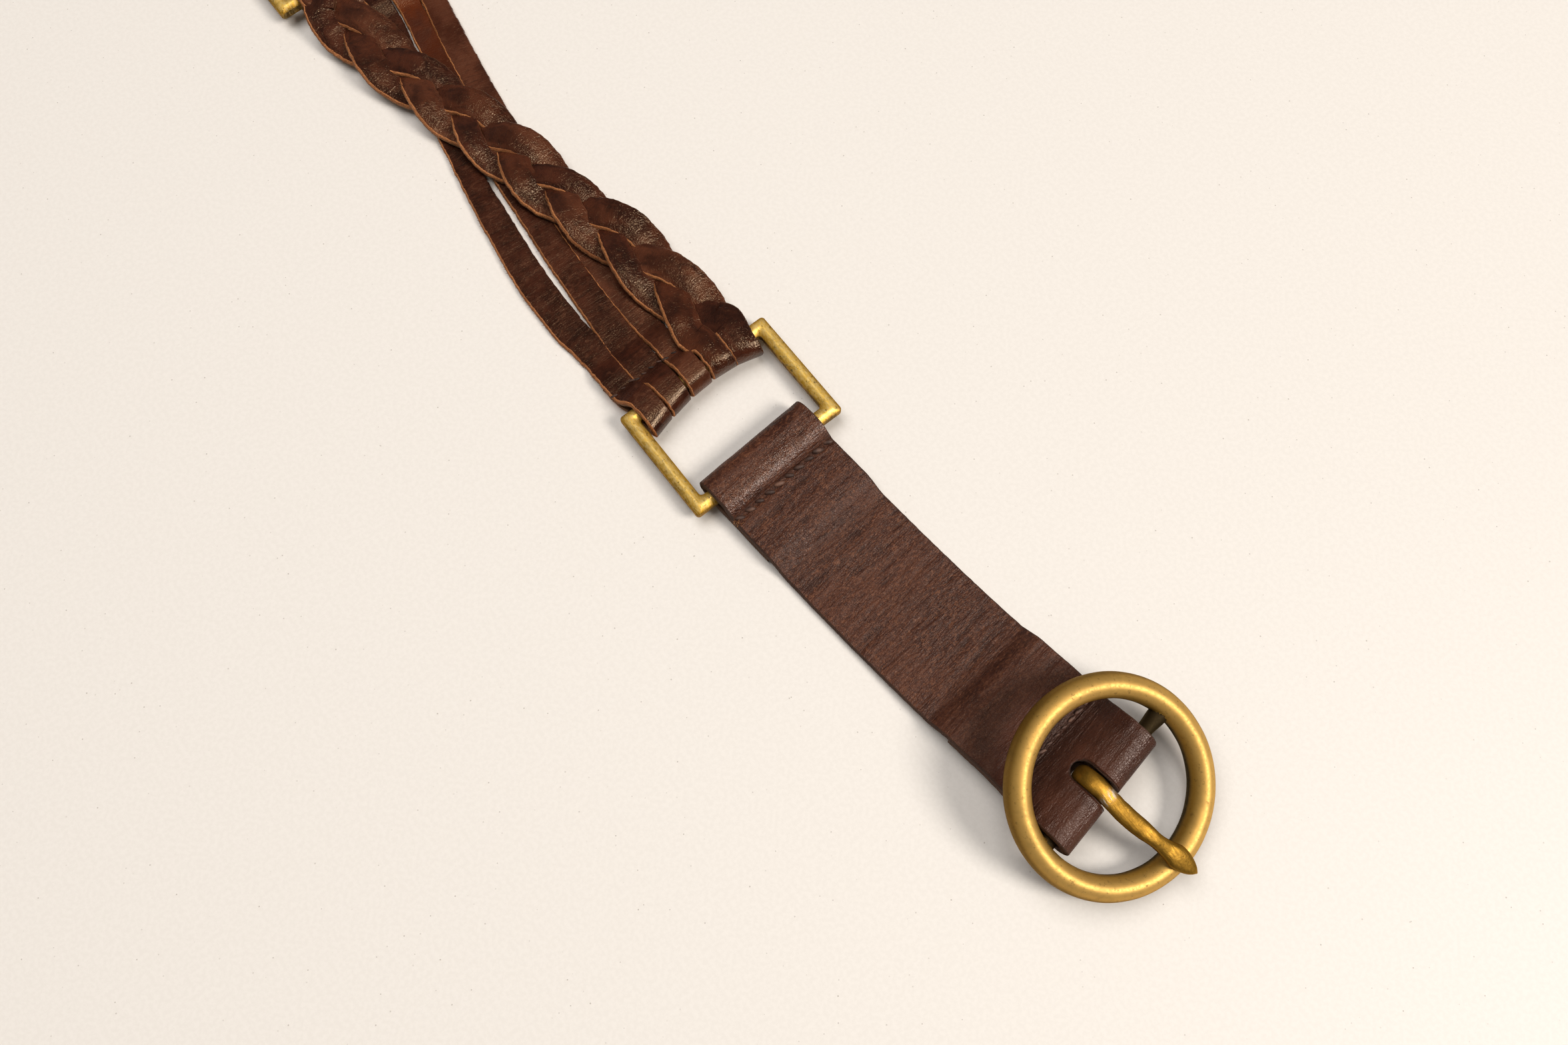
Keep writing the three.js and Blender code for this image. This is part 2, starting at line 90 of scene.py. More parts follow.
def softNoise(x, y, seed):
    # smooth noise between -1 and 1 on a lattice of whole numbers
    lattice = np.random.default_rng(seed).uniform(-1, 1, (64, 64))
    x, y = np.broadcast_arrays(np.asarray(x, float), np.asarray(y, float))
    i, j = np.floor(x).astype(int), np.floor(y).astype(int)
    fx, fy = smooth(x - i), smooth(y - j)
    near = lerp(lattice[i % 64, j % 64], lattice[(i + 1) % 64, j % 64], fx)
    far = lerp(lattice[i % 64, (j + 1) % 64], lattice[(i + 1) % 64, (j + 1) % 64], fx)
    return lerp(near, far, fy)


def waves(at, across, seed, rows):
    # soft unevenness; a row holds the scales along and across, an offset, a step of the seed and the height
    return sum(softNoise(at * along, across * aside + offset, seed + step) * height
               for along, aside, offset, step, height in rows)


def tableCurve(rows, column):
    # a column of a table as a smooth function of the value in its first column
    at = [row[0] for row in rows]
    values = [row[column] for row in rows]

    def value(share):
        share = min(max(share, at[0]), at[-1])
        i = min(max(bisect_right(at, share), 1), len(at) - 1)
        t0, t1, v0, v1 = at[i - 1], at[i], values[i - 1], values[i]
        tBefore, vBefore = (at[i - 2], values[i - 2]) if i > 1 else (t1, v1)
        tAfter, vAfter = (at[i + 1], values[i + 1]) if i + 1 < len(at) else (t0, v0)
        half = (t1 - t0) / 2
        wBefore, wAfter = half / (t0 - tBefore), half / (tAfter - t1)
        p = (share - t0) / (t1 - t0)
        return (
            (-wBefore * p**3 + 2 * wBefore * p**2 - wBefore * p) * vBefore
            + ((1 + wBefore) * p**3 - (1.5 + 2 * wBefore) * p**2 + (wBefore - 0.5) * p + 1) * v0
            + (-(1 + wAfter) * p**3 + (1.5 + wAfter) * p**2 + 0.5 * p) * v1
            + (wAfter * p**3 - wAfter * p**2) * vAfter
        )

    return value


def newPiece(name, points, faces, material):
    # points in millimetres of the ring's frame
    mesh = bpy.data.meshes.new(name)
    mesh.from_pydata((np.asarray(points) * mm + shift).tolist(), [], faces)
    mesh.polygons.foreach_set("use_smooth", [True] * len(mesh.polygons))
    mesh.materials.append(material)
    mesh.update()
    piece = bpy.data.objects.new(name, mesh)
    bpy.context.scene.collection.objects.link(piece)
    return piece


def pointVectors(piece, name, values):
    layer = piece.data.attributes.new(name, "FLOAT_VECTOR", "POINT")
    layer.data.foreach_set("vector", np.asarray(values, np.float32).ravel())


def baked(piece):
    # the piece with its modifiers worked in, as a plain mesh
    name = piece.name
    graph = bpy.context.evaluated_depsgraph_get()
    mesh = bpy.data.meshes.new_from_object(
        piece.evaluated_get(graph), preserve_all_data_layers=True, depsgraph=graph
    )
    piece.modifiers.clear()
    bpy.data.objects.remove(piece)
    mesh.name = name
    made = bpy.data.objects.new(name, mesh)
    bpy.context.scene.collection.objects.link(made)
    return made


def pointsOf(piece, name):
    # a point attribute of a piece as rows of three
    layer = piece.data.attributes[name]
    values = np.zeros(3 * len(piece.data.vertices), np.float32)
    layer.data.foreach_get("vector", values)
    return values.reshape(-1, 3)


def combined(piece, other, operation):
    # boolean of two pieces; the other one is used up. The new points take their attributes from the
    # nearest old ones, and new points on a cut leather count as cut edge.
    names = [name for name in ("lay", "finish", "wear") if name in piece.data.attributes]
    sources = [source for source in (piece, other) if names[0] in source.data.attributes]
    places = np.concatenate([pointsOf(source, "position") for source in sources])
    values = {name: np.concatenate([pointsOf(source, name) for source in sources]) for name in names}
    tree = KDTree(len(places))
    for i, place in enumerate(places):
        tree.insert(place, i)
    tree.balance()
    modifier = piece.modifiers.new("join", "BOOLEAN")
    modifier.operation = operation
    modifier.solver = "EXACT"
    modifier.object = other
    made = baked(piece)
    bpy.data.objects.remove(other)
    nearest = [tree.find(place) for place in pointsOf(made, "position")]
    index = np.array([found[1] for found in nearest])
    moved = np.array([found[2] for found in nearest])
    for name in names:
        taken = values[name][index]
        if name == "finish":
            taken[moved > newPointDistance * mm, 0] = 1
        if name in made.data.attributes:
            made.data.attributes.remove(made.data.attributes[name])
        pointVectors(made, name, taken)
    return made


def newMaterial(name):
    material = bpy.data.materials.new(name)
    material.use_nodes = True
    tree = material.node_tree
    tree.nodes.clear()
    output = tree.nodes.new("ShaderNodeOutputMaterial")
    shader = tree.nodes.new("ShaderNodeBsdfPrincipled")
    tree.links.new(shader.outputs[0], output.inputs[0])
    return material, tree, shader


def feed(tree, socket, value):
    if isinstance(value, bpy.types.NodeSocket):
        tree.links.new(value, socket)
    elif value is not None:
        socket.default_value = value


def mathNode(tree, operation, a, b, clamp=False):
    node = tree.nodes.new("ShaderNodeMath")
    node.operation = operation
    node.use_clamp = clamp
    for socket, value in zip(node.inputs, (a, b)):
        feed(tree, socket, value)
    return node.outputs[0]


def mixColor(tree, share, a, b):
    node = tree.nodes.new("ShaderNodeMix")
    node.data_type = "RGBA"
    feed(tree, node.inputs[0], share)
    feed(tree, node.inputs[6], a)
    feed(tree, node.inputs[7], b)
    return node.outputs[2]


def rangeNode(tree, value, fromLow, fromHigh, toLow=0.0, toHigh=1.0):
    node = tree.nodes.new("ShaderNodeMapRange")
    node.interpolation_type = "SMOOTHSTEP"
    for socket, number in zip(node.inputs, (value, fromLow, fromHigh, toLow, toHigh)):
        feed(tree, socket, number)
    return node.outputs[0]


def noiseNode(tree, place, scale, detail=3.0, rough=0.55, distortion=0.0):
    node = tree.nodes.new("ShaderNodeTexNoise")
    feed(tree, node.inputs["Vector"], place)
    node.inputs["Scale"].default_value = scale
    node.inputs["Detail"].default_value = detail
    node.inputs["Roughness"].default_value = rough
    node.inputs["Distortion"].default_value = distortion
    return node.outputs[0]


def cellNode(tree, place):
    node = tree.nodes.new("ShaderNodeTexVoronoi")
    node.feature = "DISTANCE_TO_EDGE"
    feed(tree, node.inputs["Vector"], place)
    node.inputs["Scale"].default_value = 1.0
    return node.outputs[0]


def stretched(tree, place, sizes, turn=0.0):
    node = tree.nodes.new("ShaderNodeMapping")
    feed(tree, node.inputs["Vector"], place)
    node.inputs["Rotation"].default_value = (0, 0, turn)
    node.inputs["Scale"].default_value = sizes
    return node.outputs[0]


def bumpNode(tree, height, strength, distance, normal=None):
    node = tree.nodes.new("ShaderNodeBump")
    node.inputs["Strength"].default_value = strength
    node.inputs["Distance"].default_value = distance * mm
    feed(tree, node.inputs["Height"], height)
    feed(tree, node.inputs["Normal"], normal)
    return node.outputs[0]


def objectPlace(tree):
    return tree.nodes.new("ShaderNodeTexCoord").outputs["Object"]


def splitVector(tree, vector):
    parts = tree.nodes.new("ShaderNodeSeparateXYZ")
    tree.links.new(vector, parts.inputs[0])
    return parts.outputs


def attributeOf(tree, name):
    node = tree.nodes.new("ShaderNodeAttribute")
    node.attribute_name = name
    return node.outputs["Vector"]


def leatherMaterial(name, look):
    # "lay" holds the place along and across the strap in millimetres and a number of the piece,
    # "finish" how much a point is cut edge, flesh side and polished
    material, tree, shader = newMaterial(name)
    lay = attributeOf(tree, "lay")
    cut, flesh, polish = splitVector(tree, attributeOf(tree, "finish"))

    def pattern(size, detail, rough, distortion=0.0, turn=0.0):
        return noiseNode(tree, stretched(tree, lay, size, turn), 1.0, detail, rough, distortion)

    def times(a, b):
        return mathNode(tree, "MULTIPLY", a, b)

    wrinkle = pattern(look["wrinkleSize"], 4.0, 0.6, 0.4)
    streak = pattern(look["streakSize"], 5.0, 0.62, 0.6)
    cloud = pattern(look["cloudSize"], 3.0, 0.5)
    mottle = pattern(look["mottleSize"], 5.0, 0.7)
    fleck = pattern(look["fleckSize"], 6.0, 0.72)
    fibre = pattern((5.0, 5.0, 1.0), 4.0, 0.7)
    grain = cellNode(tree, stretched(tree, lay, look["grainSize"]))

    color = mixColor(tree, rangeNode(tree, cloud, 0.35, 0.65), look["dark"], look["middle"])
    # each layer: its pattern, where it starts and where it is full, its share and its tone
    layers = (
        (mottle, 0.47, 0.66, "mottles", "light"),
        (mottle, 0.5, 0.36, "mottles", "deep"),
        (streak, 0.5, 0.72, "streaks", "light"),
        (fleck, 0.6, 0.72, "flecks", "fleck"),
        (wrinkle, 0.46, 0.3, "creases", "deep"),
    )
    for source, begin, full, share, tone in layers:
        color = mixColor(tree, rangeNode(tree, source, begin, full, 0, look[share]), color, look[tone])
    # fine creases run where the level of a slow noise passes its steps
    level = pattern(look["lineSize"], 2.0, 0.5, 0.8, look["lineTurn"])
    line = rangeNode(tree, mathNode(tree, "PINGPONG", level, look["lineGap"]), 0.004, 0.024, 1, 0)
    line = times(line, rangeNode(tree, mottle, 0.4, 0.54))
    color = mixColor(tree, times(line, look["lines"]), color, look["lineColor"])
    if "farColor" in look:
        # another tone beyond a place along the belt
        ahead = splitVector(tree, objectPlace(tree))[0]
        far = rangeNode(tree, ahead, look["farFrom"] * mm, look["farTo"] * mm)
        toned = mixColor(tree, rangeNode(tree, cloud, 0.3, 0.7), look["farColor"], look["middle"])
        color = mixColor(tree, times(far, look["farShare"]), color, toned)
    tone = times(rangeNode(tree, fibre, 0.32, 0.62), rangeNode(tree, cloud, 0.3, 0.52, 0.25, 1))
    raw = mixColor(tree, tone, look["edgeDark"], look["edge"])
    color = mixColor(tree, rangeNode(tree, cut, 0.55, 0.9), color, raw)
    back = mixColor(tree, rangeNode(tree, fibre, 0.35, 0.7), look["fleshDark"], look["flesh"])
    color = mixColor(tree, flesh, color, back)
    feed(tree, shader.inputs["Base Color"], color)

    rough = mathNode(tree, "ADD", rangeNode(tree, cloud, 0.3, 0.7, look["roughLow"], look["roughHigh"]),
                     rangeNode(tree, grain, 0.0, 0.3, 0.06, -0.03))
    rough = mathNode(tree, "SUBTRACT", rough, times(polish, look["polish"]))
    bare = mathNode(tree, "MAXIMUM", cut, flesh)
    rough = mathNode(tree, "MAXIMUM", rough, times(bare, look["bareRough"]), clamp=True)
    feed(tree, shader.inputs["Roughness"], rough)
    shader.inputs["IOR"].default_value = look["ior"]
    shader.inputs["Specular Tint"].default_value = look["tint"]

    skin = mathNode(tree, "SUBTRACT", mathNode(tree, "SUBTRACT", 1.0, bare),
                    times(polish, look["smoothing"]), clamp=True)
    # each relief: its pattern, where it shows, its strength and its height in millimetres
    reliefs = (
        (wrinkle, skin, look["wrinkleBump"], 0.9),
        (streak, skin, look["streakBump"], 0.5),
        (line, skin, -look["lineBump"], 0.15),
        (rangeNode(tree, grain, 0.0, 0.28), skin, look["grainBump"], 0.16),
        (fibre, bare, 0.7, 0.35),
    )
    soft = None
    for source, where, strength, height in reliefs:
        soft = bumpNode(tree, times(source, where), strength, height, soft)
    feed(tree, shader.inputs["Normal"], soft)
    return material


def brassMaterial(name, look):
    # "wear" holds how proud a point stands, how deep it sits and how scratched it is; proud points are
    # painted paler, as rubbed brass and a painted highlight, and deep ones darker, as patina and painted
    # shade
    material, tree, shader = newMaterial(name)
    place = objectPlace(tree)
    proud, deep, worn = splitVector(tree, attributeOf(tree, "wear"))
    cloud = noiseNode(tree, place, look["cloud"], 4.0, 0.6, 0.3)
    speck = noiseNode(tree, place, look["speck"], 5.0, 0.72)
    drawn = stretched(tree, place, look["scratchSize"], look["scratchTurn"])
    scratch = noiseNode(tree, drawn, 1.0, 4.0, 0.65)

    color = mixColor(tree, rangeNode(tree, cloud, 0.35, 0.68), look["dull"], look["bright"])
    # the crown is painted paler: rubbed brass and a painted highlight
    crown = mathNode(tree, "MULTIPLY", proud, rangeNode(tree, cloud, 0.2, 0.6, 0.75, 1.0))
    color = mixColor(tree, crown, color, look["crown"])
    # deep points, with random mottles, are painted dark: patina and painted shade
    uneven = rangeNode(tree, cloud, 0.3, 0.7, -look["mottle"], look["mottle"])
    patinaAndShade = mathNode(tree, "ADD", deep, uneven, clamp=True)
    color = mixColor(tree, patinaAndShade, color, look["patinaAndShade"])
    color = mixColor(tree, rangeNode(tree, speck, 0.56, 0.68, 0, look["specks"]), color, look["speckColor"])
    rubbed = mathNode(tree, "MULTIPLY", worn, rangeNode(tree, scratch, 0.42, 0.6))
    color = mixColor(tree, rubbed, color, look["bare"])
    feed(tree, shader.inputs["Base Color"], color)
    shader.inputs["Metallic"].default_value = look["metallic"]
    shader.inputs["Specular Tint"].default_value = look["tint"]
    rough = mathNode(tree, "ADD", rangeNode(tree, scratch, 0.3, 0.7, look["roughLow"], look["roughHigh"]),
                     mathNode(tree, "MULTIPLY", patinaAndShade, 0.16))
    rough = mathNode(tree, "ADD", rough, rangeNode(tree, speck, 0.6, 0.75, 0, 0.2), clamp=True)
    feed(tree, shader.inputs["Roughness"], rough)
    fine = bumpNode(tree, scratch, look["scratchBump"], 0.06)
    fine = bumpNode(tree, cloud, look["castBump"], 0.5, fine)
    fine = bumpNode(tree, speck, look["pitBump"], 0.12, fine)
    feed(tree, shader.inputs["Normal"], fine)
    return material


def strapSection(topCount):
    # section of a strap from the lower right corner anticlockwise; each point has its share of the
    # half width, an offset, its share of the half thickness, and how much it is cut edge and top
    rows = []
    turns = np.linspace(-0.5 * math.pi, 0.5 * math.pi, edgeSteps)
    across = np.cos(np.linspace(0.02, math.pi - 0.02, topCount))
    across = np.sign(across) * np.abs(across) ** 0.8
    for turn in turns:
        rows.append((1, math.cos(turn), math.sin(turn), 1, turn > 0))
    for q in across:
        rows.append((q, 0, 1, 0, True))
    for turn in turns[::-1]:
        rows.append((-1, -math.cos(turn), math.sin(turn), 1, turn > 0))
    for q in across[::-1]:
        rows.append((q, 0, -1, 0, False))
    return np.array(rows, float)


def evenRoute(route, step):
    # the polyline resampled evenly along its length, its corners eased; also the distance along it
    points = np.array(route, float)
    lengths = np.hypot(np.diff(points[:, 0]), np.diff(points[:, 1]))
    arc = np.concatenate([[0], np.cumsum(lengths)])
    keep = np.concatenate([[True], lengths > 1e-6])
    points, arc = points[keep], arc[keep]
    count = max(2, int(round(arc[-1] / step)))
    at = np.linspace(0, arc[-1], count + 1)
    even = np.column_stack([np.interp(at, arc, points[:, i]) for i in range(points.shape[1])])
    for _ in range(3):
        even[1:-1] = (even[:-2] + 2 * even[1:-1] + even[2:]) / 4
    return at, even


def strapPiece(name, at, route, base, widthOf, thickness, section, material, options):
    # a strap that follows the route's [distance, height] points over a base line. The pairs "skive"
    # (how much narrower the top is than the underside) and "raw" (how raw the cut edge looks) give the
    # minus and the plus edge.
    slopes = np.gradient(route[:, :2], axis=0)
    slopes /= np.linalg.norm(slopes, axis=1)[:, None]
    count, around = len(route), len(section)
    centre, side, up = (np.zeros((count, 3)) for _ in range(3))
    for i, row in enumerate(route):
        origin, along, above = base(row)
        run, climb = slopes[i]
        centre[i] = origin + above * row[1]
        side[i] = np.cross(above, along)
        up[i] = above * run - along * climb
    roll = options.get("roll")
    if roll is not None:
        turn = np.array([roll(row) for row in route])[:, None]
        side, up = side * np.cos(turn) + up * np.sin(turn), up * np.cos(turn) - side * np.sin(turn)
    width = np.array([widthOf(row) for row in route])
    q, dx, dy, cut, top = section.T
    bevel = np.minimum(options["bevel"], width / 4)[:, None]
    ragged, seed = options["ragged"], options["seed"]
    edgeNoise = softNoise(at[:, None] * 0.9, np.sign(q)[None, :] * 7 + 20, seed) * ragged
    edgeNoise += softNoise(at[:, None] * 2.3, np.sign(q)[None, :] * 5 + 40, seed + 1) * ragged * 0.6
    minus, plus = options.get("skive", (0.0, 0.0))
    skive = np.where(q > 0, plus, minus) * (dy + 1) / 2 * np.abs(q)
    reach = width[:, None] / 2 - bevel - skive[None, :] + edgeNoise * np.abs(q)
    across = q[None, :] * reach + dx[None, :] * bevel
    topFrom, topTo = options.get("upper", (at[0], at[-1]))
    upper = smooth((at - topFrom) / 4) * smooth((topTo - at) / 4)
    crown = options.get("crown", 0.0) * (1 - q**2)
    lift = np.where(dy > 0.99, 1.0, 0.0)
    height = dy[None, :] * thickness / 2 + upper[:, None] * (crown * lift)[None, :]
    height = height + options["relief"](at[:, None], across) * lift[None, :]
    points = centre[:, None] + side[:, None] * across[..., None] + up[:, None] * height[..., None]
    bend = options.get("bend")
    if bend is not None:
        points = bend(points)
    finish = np.zeros((count, around, 3))
    rawMinus, rawPlus = options.get("raw", (1.0, 1.0))
    finish[..., 0] = (cut * np.where(q > 0, rawPlus, rawMinus))[None, :]
    finish[[0, -1], :, 0] = 1
    finish[..., 1] = 1 - top[None, :]
    finish[..., 2] = options["polish"](at)[:, None]
    # the third number sets the patterns of the pieces apart
    lay = np.zeros((count, around, 3))
    lay[..., 0] = at[:, None] + options.get("layShift", 0)
    lay[..., 1] = across + options.get("laySide", 0)
    lay[..., 2] = height * 2 + seed * 7.3
    faces = []
    for i in range(count - 1):
        for j in range(around):
            a, b = i * around + j, i * around + (j + 1) % around
            faces.append((a, b, b + around, a + around))
    first = edgeSteps // 2
    last = (count - 1) * around

    def mirror(j):
        return (edgeSteps - 1 - j) % around

    # both ends are closed with strips of four-sided faces
    for j in range(first, first + around // 2 - 1):
        faces.append((j + 1, j, mirror(j), mirror(j + 1)))
        faces.append((last + j, last + j + 1, last + mirror(j + 1), last + mirror(j)))
    piece = newPiece(name, points.reshape(-1, 3), faces, material)
    pointVectors(piece, "lay", lay.reshape(-1, 3))
    pointVectors(piece, "finish", finish.reshape(-1, 3))
    return piece, points


def foldedEnd(bar, out, thickness, high, half, room, flap, seam, drop, short=False):
    # side route of a folded end: flap under the strap, round the bar, over it, down to the seam and on;
    # a short one stops when it has passed over the bar
    under = thickness / 2
    over = high + clearance + thickness / 2
    radius = (over - under) / 2
    middle = half + room - radius + thickness / 2
    seamHeight = under + thickness + clearance
    rows = [(-flap * (1 - t), under) for t in np.linspace(0, 1, 12, endpoint=False)]
    for a in np.linspace(-math.pi / 2, math.pi / 2, 36):
        rows.append((middle + radius * math.cos(a), under + radius + radius * math.sin(a)))
    if not short:
        for t in np.linspace(0, 1, 24):
            rows.append((lerp(-half - room / 2, -seam, t), lerp(over, seamHeight, smooth(t))))
        rows.append((-flap - clearance, seamHeight))
        for t in np.linspace(0, 1, 14)[1:]:
            rows.append((-flap - clearance - t * drop, lerp(seamHeight, under, smooth(t))))
    return [(bar + out * u, h) for u, h in rows]


def ringFold(bar, out, thickness, look, short=False):
    return foldedEnd(bar, out, thickness, ringTop, ringLook["bar"] / 2, look["foldRoom"],
                     look["flap"], look["seam"], look["drop"], short)


# leather tab between the front ring and the buckle
tabLook = {
    "width": 35.0,
    "leather": 2.6,
    "length": 117.8,
    "turnAtRing": 3.8,
    "turnAtBuckle": 7.6,
    "side": -0.8,
    "flap": 20.6,
    "seam": 7.8,
    "buckleFlap": 32.5,
    "buckleSeam": 14.2,
    "lift": 75.0,
    "drop": 7.0,
    "foldRoom": 1.8,
    "step": 0.62,
    "across": 46,
    "waves": [(0.16, 0.07, 3, 0, 0.08), (0.45, 0.06, 0, 1, 0.11), (0.9, 0.22, 0, 2, 0.05)],
    "dent": (0.75, 1.1, 0.35),  # depth, reach and share that follows the stitches
    "askewForward": 0.35,
    "askewTurn": 0.75,
    "askewSide": 1.5,
}
buckleLook = {
    "outer": 54.8,
    "rimWidth": 6.5,
    "rimHeight": 7.4,
    "bar": 4.0,
    "barDrop": 0.6,
    "barBack": 2.8,
    "tilt": 19.0,
    "side": 0.9,
    "rimClear": 0.1,
    "slotWidth": 5.8,
    "slotReach": 7.3,
    "slotUnder": 5.6,
    "slotSide": -2.1,
    "barFlare": 0.5,
    "barEnd": 9,
}
rimRadius = (buckleLook["outer"] - buckleLook["rimWidth"]) / 2
tilt = math.radians(buckleLook["tilt"])
barHeightOnTab = tabLook["leather"] + clearance + buckleLook["bar"] / 2
barHeight = (
    buckleLook["rimHeight"] / 2
    + (rimRadius + buckleLook["barBack"]) * math.sin(tilt)
    - buckleLook["barDrop"] * math.cos(tilt)
    + buckleLook["rimClear"]
)
tabRise = barHeight - barHeightOnTab


def tabBase(row):
    distance = row[0]
    turn = lerp(tabLook["turnAtRing"], tabLook["turnAtBuckle"], distance / tabLook["length"])
    mean = math.radians((tabLook["turnAtRing"] + turn) / 2)
    climb = max(0.0, distance - (tabLook["length"] - tabLook["lift"])) / tabLook["lift"]
    along = np.array([math.cos(math.radians(turn)), math.sin(math.radians(turn)),
                      2 * tabRise * climb / tabLook["lift"]])
    along /= np.linalg.norm(along)
    side = np.cross((0, 0, 1), along)
    side /= np.linalg.norm(side)
    origin = np.array([
        barPlace + distance * math.cos(mean),
        tabLook["side"] + distance * math.sin(mean),
        tabRise * climb * climb,
    ])
    return origin, along, np.cross(along, side)


def tabRoute():
    leather = tabLook["leather"]
    ringEnd = ringFold(0, -1, leather, tabLook)
    buckleEnd = foldedEnd(tabLook["length"], 1, leather, leather + clearance + buckleLook["bar"],
                          buckleLook["bar"] / 2, clearance, tabLook["buckleFlap"],
                          tabLook["buckleSeam"], tabLook["drop"])
    return evenRoute(ringEnd + buckleEnd[::-1], tabLook["step"])


tabAt, tabPath = tabRoute()
turnRing = tabAt[np.argmin(tabPath[:, 0])]
turnBuckle = tabAt[np.argmax(tabPath[:, 0])]


def seamPlace(at, path, distance, afterTurn, beforeTurn):
    # the length along a route where its upper layer passes a distance
    upper = [i for i in range(len(at)) if afterTurn < at[i] < beforeTurn]
    return at[min(upper, key=lambda i: abs(path[i, 0] - distance))]


ringSeamAt = seamPlace(tabAt, tabPath, tabLook["seam"], turnRing, turnBuckle)
buckleSeamAt = seamPlace(tabAt, tabPath, tabLook["length"] - tabLook["buckleSeam"], turnRing, turnBuckle)

stitchSpread = 8  # degrees that a stitch may stand askew
tabStitches = {
    "pitch": 3.3, "length": 3.0, "thick": 1.35, "slant": 28.0, "seed": 5, "inset": 1.9, "sink": 0.1,
}
buckleStitches = {
    "pitch": 2.7, "length": 2.2, "thick": 0.75, "slant": 16.0, "seed": 9, "inset": 2.4, "sink": 0.12,
}


def seamDent(ahead, across, dent, pitch):
    # the leather drawn down along a seam, most at its stitches
    depth, reach, share = dent
    pull = 1 - share + share * np.cos(2 * math.pi * across / pitch)
    return -depth * bell(ahead / reach) * pull


def tabRelief(at, across):
    onTop = smooth((at - turnRing) / 4) * smooth((turnBuckle - at) / 4)
    ripple = waves(at, across, 11, tabLook["waves"])
    dent = seamDent(at - ringSeamAt, across, tabLook["dent"], tabStitches["pitch"])
    puff = 0.45 * bell((at - ringSeamAt + 3.4) / 1.9)
    groove = -0.28 * bell((at - buckleSeamAt) / 0.9)
    crest = softNoise(at * 0.5, across * 0.5, 15) * 0.12 * bell((at - turnRing - 5) / 6)
    return ripple * onTop + dent + puff + groove + crest


def tabPolish(at):
    ring = bell((at - (turnRing + ringSeamAt) / 2 - 2.2) / 3.4)
    buckle = bell((at - turnBuckle + 2.2) / 2.6)
    return np.clip(ring + buckle * 0.8, 0, 1)


tabLeather = leatherMaterial("tabLeather", {
    "dark": (0.042, 0.0115, 0.0060, 1),
    "middle": (0.070, 0.0215, 0.0108, 1),
    "light": (0.150, 0.055, 0.027, 1),
    "fleck": (0.27, 0.115, 0.052, 1),
    "deep": (0.022, 0.0065, 0.004, 1),
    "edge": (0.085, 0.040, 0.024, 1),
    "edgeDark": (0.028, 0.012, 0.009, 1),
    "flesh": (0.16, 0.085, 0.05, 1),
    "fleshDark": (0.07, 0.034, 0.02, 1),
    "wrinkleSize": (0.45, 0.085, 1.0),
    "streakSize": (1.3, 0.5, 1.0),
    "cloudSize": (0.07, 0.06, 1.0),
    "fleckSize": (1.9, 1.6, 1.0),
    "grainSize": (1.9, 1.6, 1.0),
    "mottleSize": (1.7, 1.1, 1.0),
    "mottles": 0.5,
    "lineSize": (0.6, 0.26, 1.0),
    "lineTurn": 0.06,
    "lineGap": 0.09,
    "lineColor": (0.18, 0.066, 0.030, 1),
    "lines": 0.65,
    "lineBump": 0.5,
    "streaks": 0.25,
    "flecks": 0.5,
    "creases": 0.75,
    "roughLow": 0.38,
    "roughHigh": 0.5,
    "polish": 0.26,
    "bareRough": 0.85,
    "smoothing": 0.5,
    "ior": 1.45,
    "tint": (1.0, 0.84, 0.76, 1),
    "wrinkleBump": 0.9,
    "streakBump": 0.35,
    "grainBump": 0.35,
    "farFrom": 185.0,
    "farTo": 225.0,
    "farColor": (0.030, 0.0085, 0.0045, 1),
    "farShare": 0.85,
})

# the buckle's own directions, shared by the slot, the rim and the prong
barOrigin, _, barUp = tabBase((tabLook["length"],))
barCentre = barOrigin + barUp * barHeightOnTab
barTurn = math.radians(tabLook["turnAtBuckle"])
buckleMatrix = Matrix.Rotation(barTurn, 3, "Z") @ Matrix.Rotation(tilt, 3, "Y")
buckleTurn = np.array(buckleMatrix)
flatTurn = np.array(Matrix.Rotation(barTurn, 3, "Z"))


def tabBend(points):
    # near the buckle the fold stands a little askew to the bar
    offset = points - barCentre
    ahead = offset[..., 0] * math.cos(barTurn) + offset[..., 1] * math.sin(barTurn)
    aside = offset[..., 1] * math.cos(barTurn) - offset[..., 0] * math.sin(barTurn)
    share = smooth((ahead + 12) / 14)
    turned = aside / (tabLook["width"] / 2) * tabLook["askewTurn"]
    forward = share * (tabLook["askewForward"] - turned)
    sideways = -tabLook["askewSide"] * smooth((ahead + 22) / 22)
    points[..., 0] += forward * math.cos(barTurn) - sideways * math.sin(barTurn)
    points[..., 1] += forward * math.sin(barTurn) + sideways * math.cos(barTurn)
    return points


tab, _ = strapPiece(
    "tab_leather", tabAt, tabPath, tabBase, lambda row: tabLook["width"], tabLook["leather"],
    strapSection(tabLook["across"]), tabLeather,
    {"bevel": 0.5, "ragged": 0.04, "seed": 3, "relief": tabRelief, "polish": tabPolish, "bend": tabBend},
)


def tube(rings, closed=False, flip=False):
    # faces round a list of equally long rings of points, with fans at open ends
    around = len(rings[0])
    points = np.concatenate(rings)
    faces = []
    count = len(rings)
    for i in range(count if closed else count - 1):
        for j in range(around):
            k = (j + 1) % around
            a, b = i * around, (i + 1) % count * around
            faces.append((a + j, b + j, b + k, a + k) if flip else (a + j, a + k, b + k, b + j))
    if not closed:
        first, last = list(range(around)), [(count - 1) * around + j for j in range(around)]
        faces.append(tuple(first) if flip else tuple(first[::-1]))
        faces.append(tuple(last[::-1]) if flip else tuple(last))
    return points, faces


